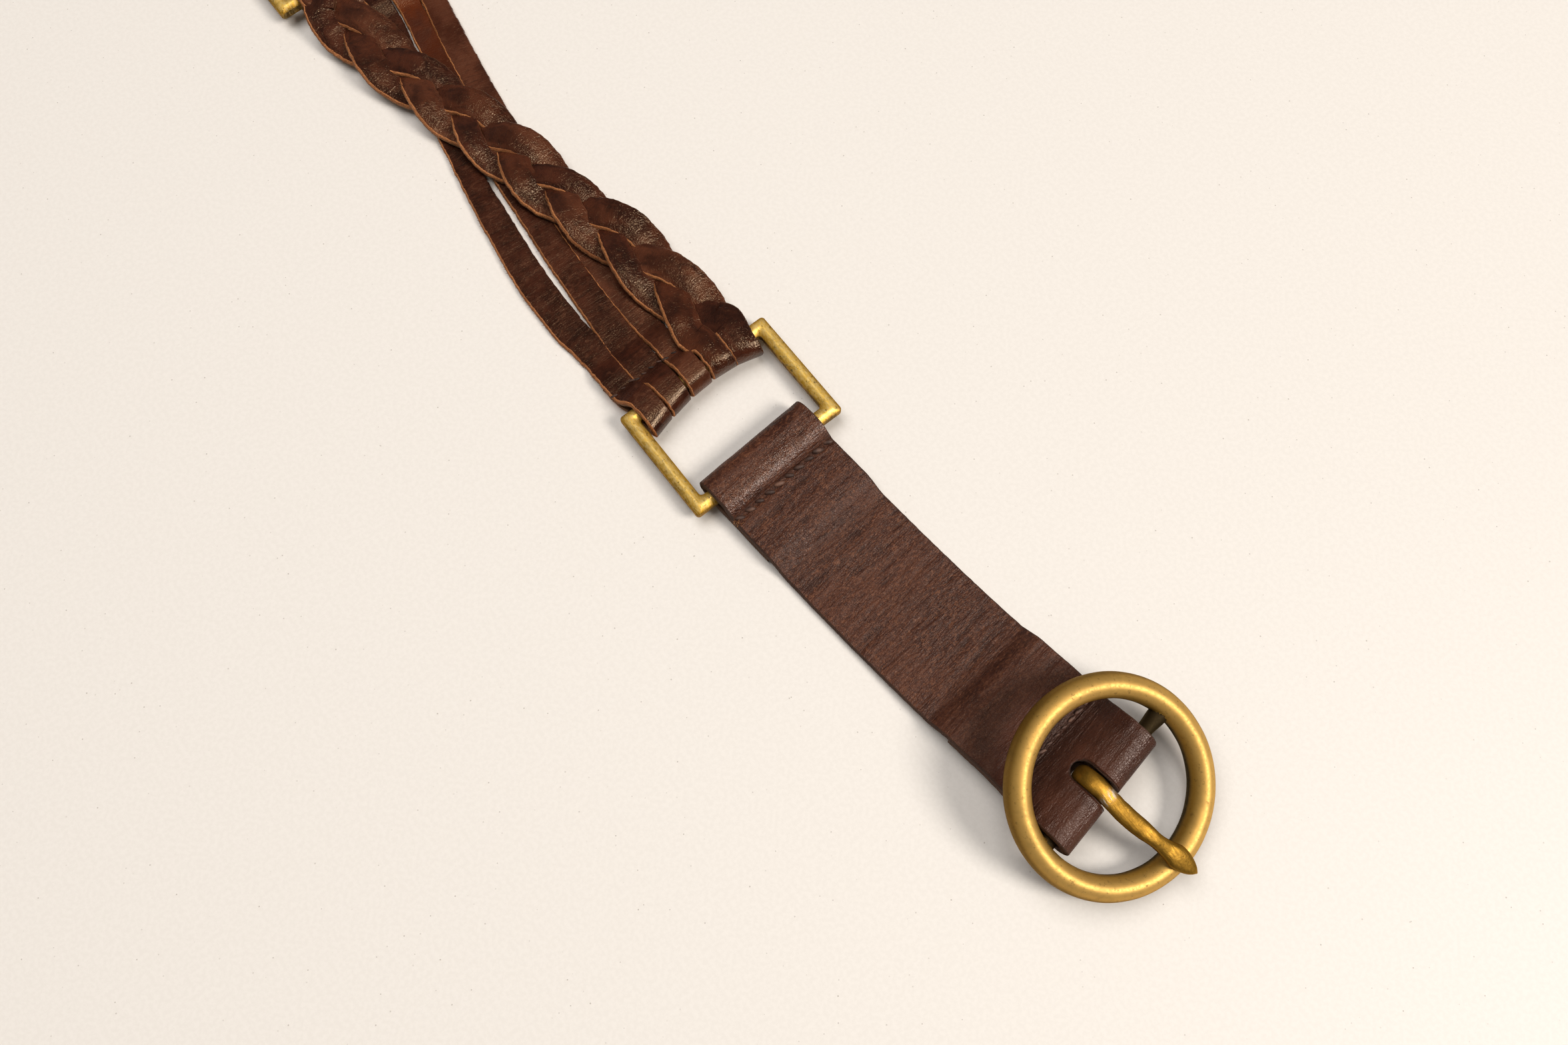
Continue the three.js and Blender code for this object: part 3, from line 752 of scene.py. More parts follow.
def slotCutter(reach, lowest, highest):
    radius = buckleLook["slotWidth"] / 2
    back = radius - reach
    outline = [(rimRadius / 2, -radius), (rimRadius / 2, radius)]
    for a in np.linspace(math.pi / 2, 1.5 * math.pi, 24):
        outline.append((back + radius * math.cos(a), radius * math.sin(a)))
    rings = []
    for z in (lowest, highest):
        ring = np.array([(x, y + buckleLook["slotSide"], z) for x, y in outline])
        rings.append(ring @ flatTurn.T + barCentre)
    points, faces = tube(rings)
    return newPiece("slot_cutter", points, faces, tabLeather)


tab = combined(tab, slotCutter(buckleLook["slotReach"], -0.6, 20.0), "DIFFERENCE")
tab = combined(tab, slotCutter(buckleLook["slotUnder"], -20.0, -0.5), "DIFFERENCE")
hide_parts("buckle_tab")
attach(tab, "belt")
print("tab:", len(tab.data.polygons), "faces")


def geometryTree(name, inputs):
    # an empty geometry tree with named inputs, and its input and output nodes
    tree = bpy.data.node_groups.new(name, "GeometryNodeTree")
    for label, kind in inputs.items():
        tree.interface.new_socket(label, in_out="INPUT", socket_type="NodeSocket" + kind)
    tree.interface.new_socket("Geometry", in_out="OUTPUT", socket_type="NodeSocketGeometry")
    return tree, tree.nodes.new("NodeGroupInput"), tree.nodes.new("NodeGroupOutput")


def workedBy(tree, piece, values):
    # the piece after the tree has run on it with these inputs
    modifier = piece.modifiers.new(tree.name, "NODES")
    modifier.node_group = tree
    for item in tree.interface.items_tree:
        if item.item_type == "SOCKET" and item.in_out == "INPUT" and item.name in values:
            modifier[item.identifier] = values[item.name]
    return baked(piece)


def pathNodes(name, shape):
    # stitches or loose fibres set along a path, as a node tree with named sizes
    tree, given, result = geometryTree(name, {
        "Geometry": "Geometry", "Pitch": "Float", "Length": "Float", "Thickness": "Float",
        "Slant": "Float", "Spread": "Float", "Seed": "Int", "Material": "Material",
    })
    node, link = tree.nodes.new, tree.links.new
    curve = node("GeometryNodeMeshToCurve")
    points = node("GeometryNodeCurveToPoints")
    points.mode = "LENGTH"
    link(given.outputs["Geometry"], curve.inputs[0])
    link(curve.outputs[0], points.inputs["Curve"])
    link(given.outputs["Pitch"], points.inputs["Length"])

    if shape == "stitch":
        unit = node("GeometryNodeMeshUVSphere")
        unit.inputs["Segments"].default_value = 10
        unit.inputs["Rings"].default_value = 8
        unit.inputs["Radius"].default_value = 0.5
    else:
        unit = node("GeometryNodeMeshCone")
        unit.inputs["Vertices"].default_value = 4
        unit.inputs["Radius Top"].default_value = 0.15
        unit.inputs["Radius Bottom"].default_value = 0.5
        unit.inputs["Depth"].default_value = 1.0

    # each copy's turn: along the path, slanted, with a little of its own
    turn = node("FunctionNodeRandomValue")
    turn.data_type = "FLOAT_VECTOR"
    size = node("FunctionNodeRandomValue")
    size.data_type = "FLOAT"
    for random in (turn, size):
        link(given.outputs["Seed"], random.inputs["Seed"])
    spread = node("ShaderNodeCombineXYZ")
    for axis in range(3):
        link(given.outputs["Spread"], spread.inputs[axis])
    less = node("ShaderNodeVectorMath")
    less.operation = "SCALE"
    less.inputs["Scale"].default_value = -1.0
    link(spread.outputs[0], less.inputs[0])
    link(less.outputs[0], turn.inputs[0])
    link(spread.outputs[0], turn.inputs[1])
    size.inputs[2].default_value = 0.72
    size.inputs[3].default_value = 1.22
    slant = node("ShaderNodeCombineXYZ")
    link(given.outputs["Slant"], slant.inputs[1 if shape == "stitch" else 0])
    both = node("ShaderNodeVectorMath")
    link(slant.outputs[0], both.inputs[0])
    link(turn.outputs[0], both.inputs[1])
    own = node("FunctionNodeEulerToRotation")
    link(both.outputs[0], own.inputs[0])
    whole = node("FunctionNodeRotateRotation")
    whole.rotation_space = "LOCAL"
    link(points.outputs["Rotation"], whole.inputs[0])
    link(own.outputs[0], whole.inputs[1])
    scale = node("ShaderNodeCombineXYZ")
    for axis, label in enumerate(("Thickness", "Thickness", "Length")):
        link(given.outputs[label], scale.inputs[axis])
    sized = node("ShaderNodeVectorMath")
    sized.operation = "SCALE"
    link(scale.outputs[0], sized.inputs[0])
    link(size.outputs[1], sized.inputs["Scale"])
    copies = node("GeometryNodeInstanceOnPoints")
    link(points.outputs["Points"], copies.inputs["Points"])
    link(unit.outputs[0], copies.inputs["Instance"])
    link(whole.outputs[0], copies.inputs["Rotation"])
    link(sized.outputs[0], copies.inputs["Scale"])
    real = node("GeometryNodeRealizeInstances")
    shade = node("GeometryNodeSetShadeSmooth")
    paint = node("GeometryNodeSetMaterial")
    link(copies.outputs[0], real.inputs[0])
    link(real.outputs[0], shade.inputs[0])
    link(shade.outputs[0], paint.inputs[0])
    link(given.outputs["Material"], paint.inputs["Material"])
    link(paint.outputs[0], result.inputs[0])
    return tree


def alongPaths(name, tree, paths, look, material, body):
    # paths are lists of points in millimetres
    points, edges = [], []
    for path in paths:
        start = len(points)
        points.extend((np.asarray(path) * mm + shift).tolist())
        edges.extend((start + i, start + i + 1) for i in range(len(path) - 1))
    mesh = bpy.data.meshes.new(name)
    mesh.from_pydata(points, edges, [])
    piece = bpy.data.objects.new(name, mesh)
    bpy.context.scene.collection.objects.link(piece)
    made = workedBy(tree, piece, {
        "Pitch": look["pitch"] * mm,
        "Length": look["length"] * mm,
        "Thickness": look["thick"] * mm,
        "Slant": math.radians(look["slant"]),
        "Spread": math.radians(look.get("spread", stitchSpread)),
        "Seed": look["seed"],
        "Material": material,
    })
    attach(made, body)


def threadMaterial(name, dark, light):
    material, tree, shader = newMaterial(name)
    place = objectPlace(tree)
    twist = noiseNode(tree, place, 2600.0, 3.0)
    wear = noiseNode(tree, place, 260.0, 2.0)
    color = mixColor(tree, rangeNode(tree, wear, 0.45, 0.7), dark, light)
    feed(tree, shader.inputs["Base Color"], color)
    shader.inputs["Roughness"].default_value = 0.62
    feed(tree, shader.inputs["Normal"], bumpNode(tree, twist, 0.5, 0.15))
    return material


threadDark = threadMaterial("threadDark", (0.045, 0.02, 0.013, 1), (0.17, 0.08, 0.05, 1))
threadPale = threadMaterial("threadPale", (0.12, 0.06, 0.042, 1), (0.34, 0.17, 0.11, 1))
threadDull = threadMaterial("threadDull", (0.020, 0.009, 0.006, 1), (0.07, 0.03, 0.018, 1))
fibreTan = threadMaterial("fibreTan", (0.20, 0.075, 0.028, 1), (0.42, 0.19, 0.08, 1))
stitchNodes = pathNodes("stitchesOnPath", "stitch")
fibreNodes = pathNodes("fibresOnPath", "fibre")


def onTab(distanceAlong, across, lift):
    # a point over the tab's top at a length along its route
    i = int(np.argmin(np.abs(tabAt - distanceAlong)))
    origin, along, above = tabBase(tabPath[i])
    run, climb = np.gradient(tabPath[:, :2], axis=0)[i]
    length = math.hypot(run, climb)
    up = above * run / length - along * climb / length
    side = np.cross(above, along)
    return origin + above * tabPath[i, 1] + side * across + up * (tabLook["leather"] / 2 + lift)


def seamPath(at, look):
    half = tabLook["width"] / 2 - look["inset"]
    return [onTab(at, across, -look["sink"]) for across in np.linspace(half, -half, 24)]


alongPaths("stitches_ring_end", stitchNodes, [seamPath(ringSeamAt, tabStitches)],
           tabStitches, threadDark, "belt")
alongPaths("stitches_buckle_end", stitchNodes, [seamPath(buckleSeamAt, buckleStitches)],
           buckleStitches, threadPale, "belt")
print("tab stitches are in")


# values of the "wear" attribute: how proud (painted paler, as rubbed brass and a painted highlight), how
# deep (painted darker, as patina and painted shade) and how scratched a point is
def wearAndPaintedLightOf(points, proud, deep, worn):
    values = np.zeros((len(points), 3))
    values[:, 0], values[:, 1], values[:, 2] = proud, deep, worn
    return values


def roundedOutline(corners, radius, steps=3):
    # a closed outline with its corners rounded off
    made = []
    count = len(corners)
    for i in range(count):
        before, here, after = (np.array(corners[(i + k) % count], float) for k in (-1, 0, 1))
        a, b = before - here, after - here
        a, b = a / np.linalg.norm(a), b / np.linalg.norm(b)
        start, end = here + a * radius, here + b * radius
        for t in np.linspace(0, 1, steps + 1):
            made.append((1 - t) ** 2 * start + 2 * t * (1 - t) * here + t**2 * end)
    return np.array(made)


def rectangularRing(name, middle, material, node):
    b, h = ringLook["bar"] / 2, ringLook["height"] / 2
    ridge, flat, low = ringLook["ridge"], ringLook["ridgeWidth"] / 2, ringLook["lowerBevel"]
    crest, flank = h - 0.2, h - ridge - 0.2  # heights over which a point is on the ridge or its slopes
    corners = [(b - low, -h), (b, low - h), (b, h - ridge), (flat, h), (-flat, h), (-b, h - ridge),
               (-b, low - h), (low - b, -h)]
    section = roundedOutline(corners, ringLook["rounding"])
    halfY = (ringLook["inside"] + ringLook["bar"]) / 2
    corner = ringLook["corner"]
    stations = []
    signs = [(1, 1), (-1, 1), (-1, -1), (1, -1)]
    for quarter, (x, y) in enumerate(signs):
        for t in np.linspace(0, 1, ringLook["cornerSteps"]):
            a = (quarter + t) * math.pi / 2
            stations.append((x, y, math.cos(a), math.sin(a)))
        nx, ny = signs[(quarter + 1) % 4]
        a = (quarter + 1) * math.pi / 2
        for t in np.linspace(0, 1, ringLook["sideSteps"])[1:-1]:
            stations.append((lerp(x, nx, t), lerp(y, ny, t), math.cos(a), math.sin(a)))
    rings, proud, deep, worn = [], [], [], []
    for x, y, cx, cy in stations:
        ring = []
        for outward, z in section:
            px = x * (barPlace + outward - corner) + corner * cx
            py = y * (halfY + outward - corner) + corner * cy
            ring.append((px, py, z))
            # the ridge is painted pale, as rubbed brass and a painted highlight; the lower sides and, the
            # outer one more, the slopes are painted dark, as patina and painted shade
            proud.append(1.0 if z > crest else 0.0)
            deep.append(0.8 if z < flank else (z < crest) * (0.5 if outward > 0 else 0.3))
            worn.append(0.5 if z > crest else 0.15)
        rings.append(np.array(ring))
    points, faces = tube(rings, closed=True, flip=True)
    points[:, 2] += softNoise(points[:, 0] * 0.35 + 9, points[:, 1] * 0.35, 31) * ringLook["wobble"]
    ring = newPiece(name, points + np.array(middle), faces, material)
    pointVectors(ring, "wear", wearAndPaintedLightOf(points, proud, deep, worn))
    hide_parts(node)
    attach(ring, "belt")


ringBrass = brassMaterial("ringBrass", {
    "bright": (0.86, 0.44, 0.03, 1),
    "dull": (0.40, 0.20, 0.012, 1),
    # the crown colour is rubbed brass with a painted highlight, and the dark colour patina with painted
    # shade
    "crown": (1.0, 0.62, 0.13, 1),
    "patinaAndShade": (0.07, 0.040, 0.012, 1),
    "speckColor": (0.06, 0.034, 0.008, 1),
    "bare": (0.95, 0.72, 0.32, 1),
    "metallic": 0.5,
    "tint": (1.0, 0.62, 0.16, 1),
    "mottle": 0.4,
    "cloud": 330.0,
    "speck": 620.0,
    "specks": 0.9,
    "scratchSize": (900.0, 2600.0, 900.0),
    "scratchTurn": 0.5,
    "roughLow": 0.3,
    "roughHigh": 0.46,
    "scratchBump": 0.3,
    "castBump": 0.16,
    "pitBump": 0.35,
})
ringMiddle = ringLook["base"] + ringLook["height"] / 2
rectangularRing("ring_front_brass", (0, 0, ringMiddle), ringBrass, "ring_front")
rectangularRing("ring_rear_brass", (rearRingX, ringLook["rearY"], ringMiddle), ringBrass, "ring_rear")
print("rings are in")


def toBuckle(points, side=0.0):
    return (np.asarray(points, float) + np.array([0, side, 0])) @ buckleTurn.T + barCentre


def roundBuckle(material):
    # the rim is painted bright on its crown, as rubbed brass and a painted highlight, and dark inside,
    # underneath and, less, outside, as patina and painted shade
    b = buckleLook
    around, sides = 220, 44
    rings, proud, deep = [], [], []
    for a in np.linspace(0, 2 * math.pi, around, endpoint=False):
        ring = []
        for s in np.linspace(0, 2 * math.pi, sides, endpoint=False):
            uneven = 1 + 0.012 * float(softNoise(a * 5, s * 1.1 + 3, 41))
            out = rimRadius + b["rimWidth"] / 2 * math.cos(s) * uneven
            z = b["rimHeight"] / 2 * math.sin(s) * uneven + b["barDrop"]
            ring.append((b["barBack"] + out * math.cos(a), out * math.sin(a), z))
            proud.append(float(smooth((math.sin(s) - 0.35) / 0.6)))
            inner = float(smooth((-math.cos(s) - 0.35) / 0.5)) * float(smooth((0.55 - math.sin(s)) / 0.8))
            under = float(smooth((-math.sin(s) - 0.1) / 0.6))
            outer = float(smooth((math.cos(s) - 0.55) / 0.4)) * 0.5
            deep.append(min(1.0, 1.1 * inner + 0.6 * under + outer * (1 - proud[-1])))
        rings.append(np.array(ring))
    points, faces = tube(rings, closed=True, flip=True)
    rim = newPiece("buckle_brass", toBuckle(points, b["side"]), faces, material)
    pointVectors(rim, "wear", wearAndPaintedLightOf(points, proud, deep, 0.0))
    # the bar flares where it meets the rim
    rings = []
    reach = math.sqrt(rimRadius**2 - b["barBack"] ** 2)
    ends = b["barEnd"]
    for y in np.concatenate([np.linspace(-reach, -reach + ends, 16), np.linspace(reach - ends, reach, 16)]):
        flare = b["barFlare"] * float(smooth((abs(y) - reach + 8) / 5))
        radius = b["bar"] / 2 + flare
        ring = [(radius * math.cos(a), y, (radius - flare * 0.4) * math.sin(a))
                for a in np.linspace(0, 2 * math.pi, 28, endpoint=False)]
        rings.append(np.array(ring))
    points, faces = tube(rings, flip=True)
    bar = newPiece("buckle_bar", toBuckle(points, b["side"]), faces, material)
    # the bar is painted dark all over, as patina and painted shade
    pointVectors(bar, "wear", wearAndPaintedLightOf(points, 0.0, 1.2, 0.0))
    rim = combined(rim, bar, "UNION")
    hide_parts("buckle_frame")
    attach(rim, "buckle")


buckleBrass = brassMaterial("buckleBrass", {
    "bright": (0.50, 0.265, 0.04, 1),
    "dull": (0.27, 0.135, 0.018, 1),
    # the crown colour is rubbed brass with a painted highlight, and the dark colour patina with painted
    # shade
    "crown": (0.66, 0.39, 0.105, 1),
    "patinaAndShade": (0.024, 0.0145, 0.006, 1),
    "speckColor": (0.11, 0.06, 0.02, 1),
    "bare": (0.86, 0.68, 0.38, 1),
    "metallic": 0.62,
    "tint": (1.0, 0.78, 0.42, 1),
    "mottle": 0.22,
    "cloud": 95.0,
    "speck": 900.0,
    "specks": 0.45,
    "scratchSize": (1500.0, 1500.0, 1500.0),
    "scratchTurn": 0.3,
    "roughLow": 0.42,
    "roughHigh": 0.54,
    "scratchBump": 0.12,
    "castBump": 0.1,
    "pitBump": 0.14,
})
roundBuckle(buckleBrass)
print("buckle is in")


# prong
prongLook = {
    "hubWall": 1.8,
    "hubWidth": 4.6,
    "skew": 4.8,
    "square": 0.8,
    # length along the prong, its place ahead of the bar's middle and over it, width and thickness
    "rows": [
        (0.0, -3.2, -2.9, 3.6, 1.8),
        (2.5, -4.8, -0.7, 4.6, 2.5),
        (4.7, -4.7, 1.6, 4.9, 2.5),
        (7.1, -2.7, 3.3, 4.9, 2.2),
        (10.0, 0.0, 4.0, 4.8, 2.0),
        (14.0, 4.0, 4.3, 4.75, 2.0),
        (19.0, 9.0, 5.1, 4.8, 2.2),
        (23.6, 13.5, 6.0, 4.6, 2.4),
        (26.6, 16.5, 6.25, 3.9, 2.4),
        (29.5, 19.4, 6.0, 4.0, 2.3),
        (32.0, 21.9, 5.9, 4.8, 2.3),
        (34.2, 24.1, 5.85, 5.8, 2.4),
        (36.2, 26.1, 5.75, 5.5, 2.3),
        (38.4, 28.3, 5.65, 4.2, 1.9),
        (40.2, 30.1, 5.55, 2.3, 1.4),
        (41.3, 31.2, 5.45, 0.4, 0.5),
    ],
    # sideways bow by the length along the prong
    "bow": [(0, 0), (4, 0), (10, -0.2), (17, -0.9), (25, -0.95), (33, -0.4), (41.3, 0.1)],
    "wornFrom": 10.4,
    "wornTo": 14.0,
}


def prongPiece(material):
    p = prongLook
    forward, height, width, thick = (tableCurve(p["rows"], i) for i in (1, 2, 3, 4))
    end = p["rows"][-1][0]
    lengths = np.linspace(0, end, 120)
    bow = tableCurve(p["bow"], 1)
    middle = np.array([(forward(t), bow(t), height(t)) for t in lengths])
    ahead = np.gradient(middle, axis=0)
    ahead /= np.linalg.norm(ahead, axis=1)[:, None]
    rings, worn, proud, deep = [], [], [], []
    for t, centre, along in zip(lengths, middle, ahead):
        side = np.array([-along[1], 1.0, 0.0]) / math.hypot(along[1], 1)
        up = np.cross(along, side)
        spot = float(smooth((t - p["wornFrom"]) / 1.5) * smooth((p["wornTo"] - t) / 1.5))
        root = float(smooth((8 - t) / 6))
        ring = []
        for a in np.linspace(0, 2 * math.pi, 32, endpoint=False):
            c, s = math.cos(a), math.sin(a)
            # between an ellipse and a soft rectangle
            x = math.copysign(abs(c) ** p["square"], c) * width(t) / 2
            z = math.copysign(abs(s) ** p["square"], s) * thick(t) / 2
            uneven = 1 + 0.03 * float(softNoise(t * 0.7, a * 1.3, 61))
            ring.append(centre + side * x * uneven + up * z * uneven)
            worn.append(spot * max(0.0, s))
            # the top is painted paler, as rubbed brass and a painted highlight, and the underside and the
            # root darker, as patina and painted shade
            proud.append(max(0.0, s - 0.25) * 0.9)
            deep.append(min(1.0, 0.75 * float(smooth(-s + 0.35)) + 0.5 * root))
        rings.append(np.array(ring))
    turn = np.array(Matrix.Rotation(math.radians(p["skew"]), 3, "Z"))
    points, faces = tube([ring @ turn.T for ring in rings])
    blade = newPiece("prong_brass", toBuckle(points, buckleLook["slotSide"]), faces, material)
    pointVectors(blade, "wear", wearAndPaintedLightOf(points, proud, deep, worn))
    inside = buckleLook["bar"] / 2 + clearance
    outside = inside + p["hubWall"]
    side = p["hubWidth"] / 2
    profile = roundedOutline([(inside, -side), (outside, -side), (outside, side), (inside, side)], 0.7, 4)
    profile[:, 0] = np.maximum(profile[:, 0], inside)
    rings = [np.array([(r * math.cos(a), y, r * math.sin(a)) for r, y in profile])
             for a in np.linspace(0, 2 * math.pi, 48, endpoint=False)]
    points, faces = tube(rings, closed=True)
    hub = newPiece("prong_hub", toBuckle(points, buckleLook["slotSide"]), faces, material)
    # the hub gets some of the same paint: rubbed brass with a painted highlight, patina with painted shade
    pointVectors(hub, "wear", wearAndPaintedLightOf(points, 0.3, 0.45, 0.1))
    prong = combined(blade, hub, "UNION")
    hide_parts("prong")
    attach(prong, "prong")


prongBrass = brassMaterial("prongBrass", {
    "bright": (0.27, 0.13, 0.012, 1),
    "dull": (0.12, 0.055, 0.006, 1),
    # the crown colour is rubbed brass with a painted highlight, and the dark colour patina with painted
    # shade
    "crown": (0.34, 0.18, 0.024, 1),
    "patinaAndShade": (0.034, 0.017, 0.004, 1),
    "speckColor": (0.07, 0.04, 0.014, 1),
    "bare": (0.36, 0.32, 0.27, 1),
    "metallic": 0.78,
    "tint": (1.0, 0.75, 0.35, 1),
    "mottle": 0.35,
    "cloud": 260.0,
    "speck": 900.0,
    "specks": 0.35,
    "scratchSize": (160.0, 1800.0, 900.0),
    "scratchTurn": -0.15,
    "roughLow": 0.32,
    "roughHigh": 0.5,
    "scratchBump": 0.9,
    "castBump": 0.3,
    "pitBump": 0.25,
})
prongPiece(prongBrass)
print("prong is in")


# panel: flat strips and the plait
panelLook = {
    "length": ringLook["panelLength"],
    "stripEnd": 7.1,
    "slit": 0.4,
    "closer": 0.26,
    "braidEnd": 15.2,
    "leather": 2.0,
    "flap": 13.1,
    "seam": 8.7,
    "drop": 7.0,
    "foldRoom": 1.8,
    "step": 0.6,
    "across": 18,
    "waves": [(0.12, 0.05, 0, 0, 0.22), (0.5, 0.14, 0, 1, 0.08)],
    "dent": (0.14, 0.8, 0.3),
    "dentPitch": 2.4,
    "side": 1.0,
    "crossFrom": 0.09,
    "crossTo": 0.91,
    "crestReach": 5.5,
    # how far the crest of the folds at the front ring stands out, by the sideways place
    "crest": [(-20.5, 2.6), (-12.5, 0.5), (-5.0, -0.9), (2.0, -1.4), (10.0, -0.8), (18.5, 1.0)],
}
stripsWidth = 3 * panelLook["stripEnd"] + 2 * panelLook["slit"]
panelWidth = stripsWidth + panelLook["slit"] + panelLook["braidEnd"]
frontEdge = -panelLook["side"] - panelWidth / 2
rearEdge = ringLook["rearY"] + panelLook["side"] - panelWidth / 2
stripRows = [
    # share of the length, sway of the middle strip, slits on the left and right, width
    (0, 0, 0, 0, 1),
    (0.12, 0, 0, 0, 1),
    (0.2, -0.02, 0.26, 0.02, 1.12),
    (0.31, -0.053, 0.3, 0.02, 1.16),
    (0.41, -0.074, 0.24, 0.02, 1.12),
    (0.51, -0.106, 0.12, 0.02, 1.05),
    (0.63, -0.111, 0.04, 0.04, 0.98),
    (0.78, -0.08, 0.04, 0.08, 0.99),
    (0.9, 0, 0, 0, 1),
    (1, 0, 0, 0, 1),
]
braidRows = [
    (0, 0), (0.2, 0), (0.33, 0.03), (0.44, 0.04), (0.54, 0.1),
    (0.68, 0.14), (0.82, 0.05), (0.9, 0), (1, 0),
]


def crossed(front, rear, share):
    run = (share - panelLook["crossFrom"]) / (panelLook["crossTo"] - panelLook["crossFrom"])
    return lerp(front, rear, smooth(run))


def panelBase(lateral):
    def base(row):
        reach = 0.5
        lean = (lateral(row[0] + reach) - lateral(row[0] - reach)) / (2 * reach)
        along = np.array([-1.0, lean, 0.0])
        origin = np.array([-barPlace - row[0], lateral(row[0]), 0.0])
        return origin, along / np.linalg.norm(along), np.array([0.0, 0.0, 1.0])
    return base


def crestBend(points):
    # the crest of the folds runs in a shallow curve across the front ring
    crest = np.array(panelLook["crest"])
    out = points[..., 0] + barPlace
    share = smooth(out / panelLook["crestReach"])
    points[..., 0] += np.interp(points[..., 1], crest[:, 0], crest[:, 1]) * share
    return points


# fan: distance behind the front ring's bar, sideways shift and added width
stripLooks = {
    "left": {
        "seed": 21,
        "fan": [
            (-20, 0, 0), (0, -0.1, 0), (4, -0.8, 0.3), (8, -2.0, 0.6), (21, -2.0, 1.0), (28, -0.9, 1.2),
            (38, 0.1, 1.1), (55, 0.3, 0.9), (75, 0.2, 0.4), (90, 0, 0), (180, 0, 0),
        ],
        "middle": (0.044, 0.0100, 0.0046, 1),
        "dark": (0.019, 0.0044, 0.0025, 1),
    },
    "middle": {
        "seed": 22,
        "fan": [
            (-20, 0, 0), (0, -0.1, 0.1), (4, -0.4, 0.7), (8, -1.1, 2.1), (21, -1.3, 2.5),
            (28, -0.9, 1.7), (38, -0.35, 0.7), (55, 0, 0), (180, 0, 0),
        ],
        "middle": (0.054, 0.0125, 0.0055, 1),
        "dark": (0.025, 0.0058, 0.003, 1),
        "farColor": (0.13, 0.022, 0.003, 1),
        "farShare": 0.95,
    },
    "right": {
        "seed": 23,
        "fan": [
            (-20, 0, 0), (15, 0, 0), (30, -0.5, 0.9), (60, -0.5, 0.9), (84, -0.3, 0.6),
            (100, -0.5, 1.0), (135, -0.5, 1.0), (155, 0, 0), (180, 0, 0),
        ],
        "middle": (0.090, 0.0255, 0.0115, 1),
        "dark": (0.048, 0.0125, 0.006, 1),
        "farColor": (0.050, 0.010, 0.0035, 1),
        "farShare": 0.85,
    },
}
stripShape = {"bevel": 0.4, "ragged": 0.13, "crown": 0.05, "skive": (0.0, 0.3), "raw": (0.3, 1.0)}
stripFinish = {
    "light": (0.075, 0.022, 0.0095, 1),
    "fleck": (0.18, 0.066, 0.03, 1),
    "deep": (0.008, 0.0028, 0.002, 1),
    "edge": (0.64, 0.25, 0.09, 1),
    "edgeDark": (0.16, 0.05, 0.018, 1),
    "flesh": (0.30, 0.15, 0.075, 1),
    "fleshDark": (0.13, 0.06, 0.03, 1),
    "wrinkleSize": (0.75, 0.11, 1.0),
    "streakSize": (1.9, 0.22, 1.0),
    "cloudSize": (0.09, 0.12, 1.0),
    "fleckSize": (1.5, 1.2, 1.0),
    "grainSize": (1.5, 1.3, 1.0),
    "mottleSize": (0.7, 0.6, 1.0),
    "mottles": 0.25,
    "lineSize": (0.2, 0.06, 1.0),
    "lineTurn": 0.3,
    "lineGap": 0.12,
    "lineColor": (0.15, 0.056, 0.028, 1),
    "lines": 0.22,
    "lineBump": 0.3,
    "streaks": 0.15,
    "flecks": 0.15,
    "creases": 0.45,
    "roughLow": 0.2,
    "roughHigh": 0.29,
    "polish": 0.07,
    "bareRough": 0.85,
    "smoothing": 0.6,
    "ior": 1.45,
    "tint": (1.0, 0.72, 0.48, 1),
    "wrinkleBump": 0.26,
    "streakBump": 0.2,
    "grainBump": 0.22,
    "farFrom": -25.0,
    "farTo": -70.0,
}
fuzzyEdges = []
stripSeams = []


def cutEdge(at, points, section, turnFront, turnRear):
    # the raw long edge of a strap, on its upper layer
    upper = np.where((at > turnFront + 2) & (at < turnRear - 2))[0]
    outermost = [j for j in range(len(section)) if section[j, 0] == 1 and section[j, 1] > 0.9]
    return points[upper, outermost[-1]]


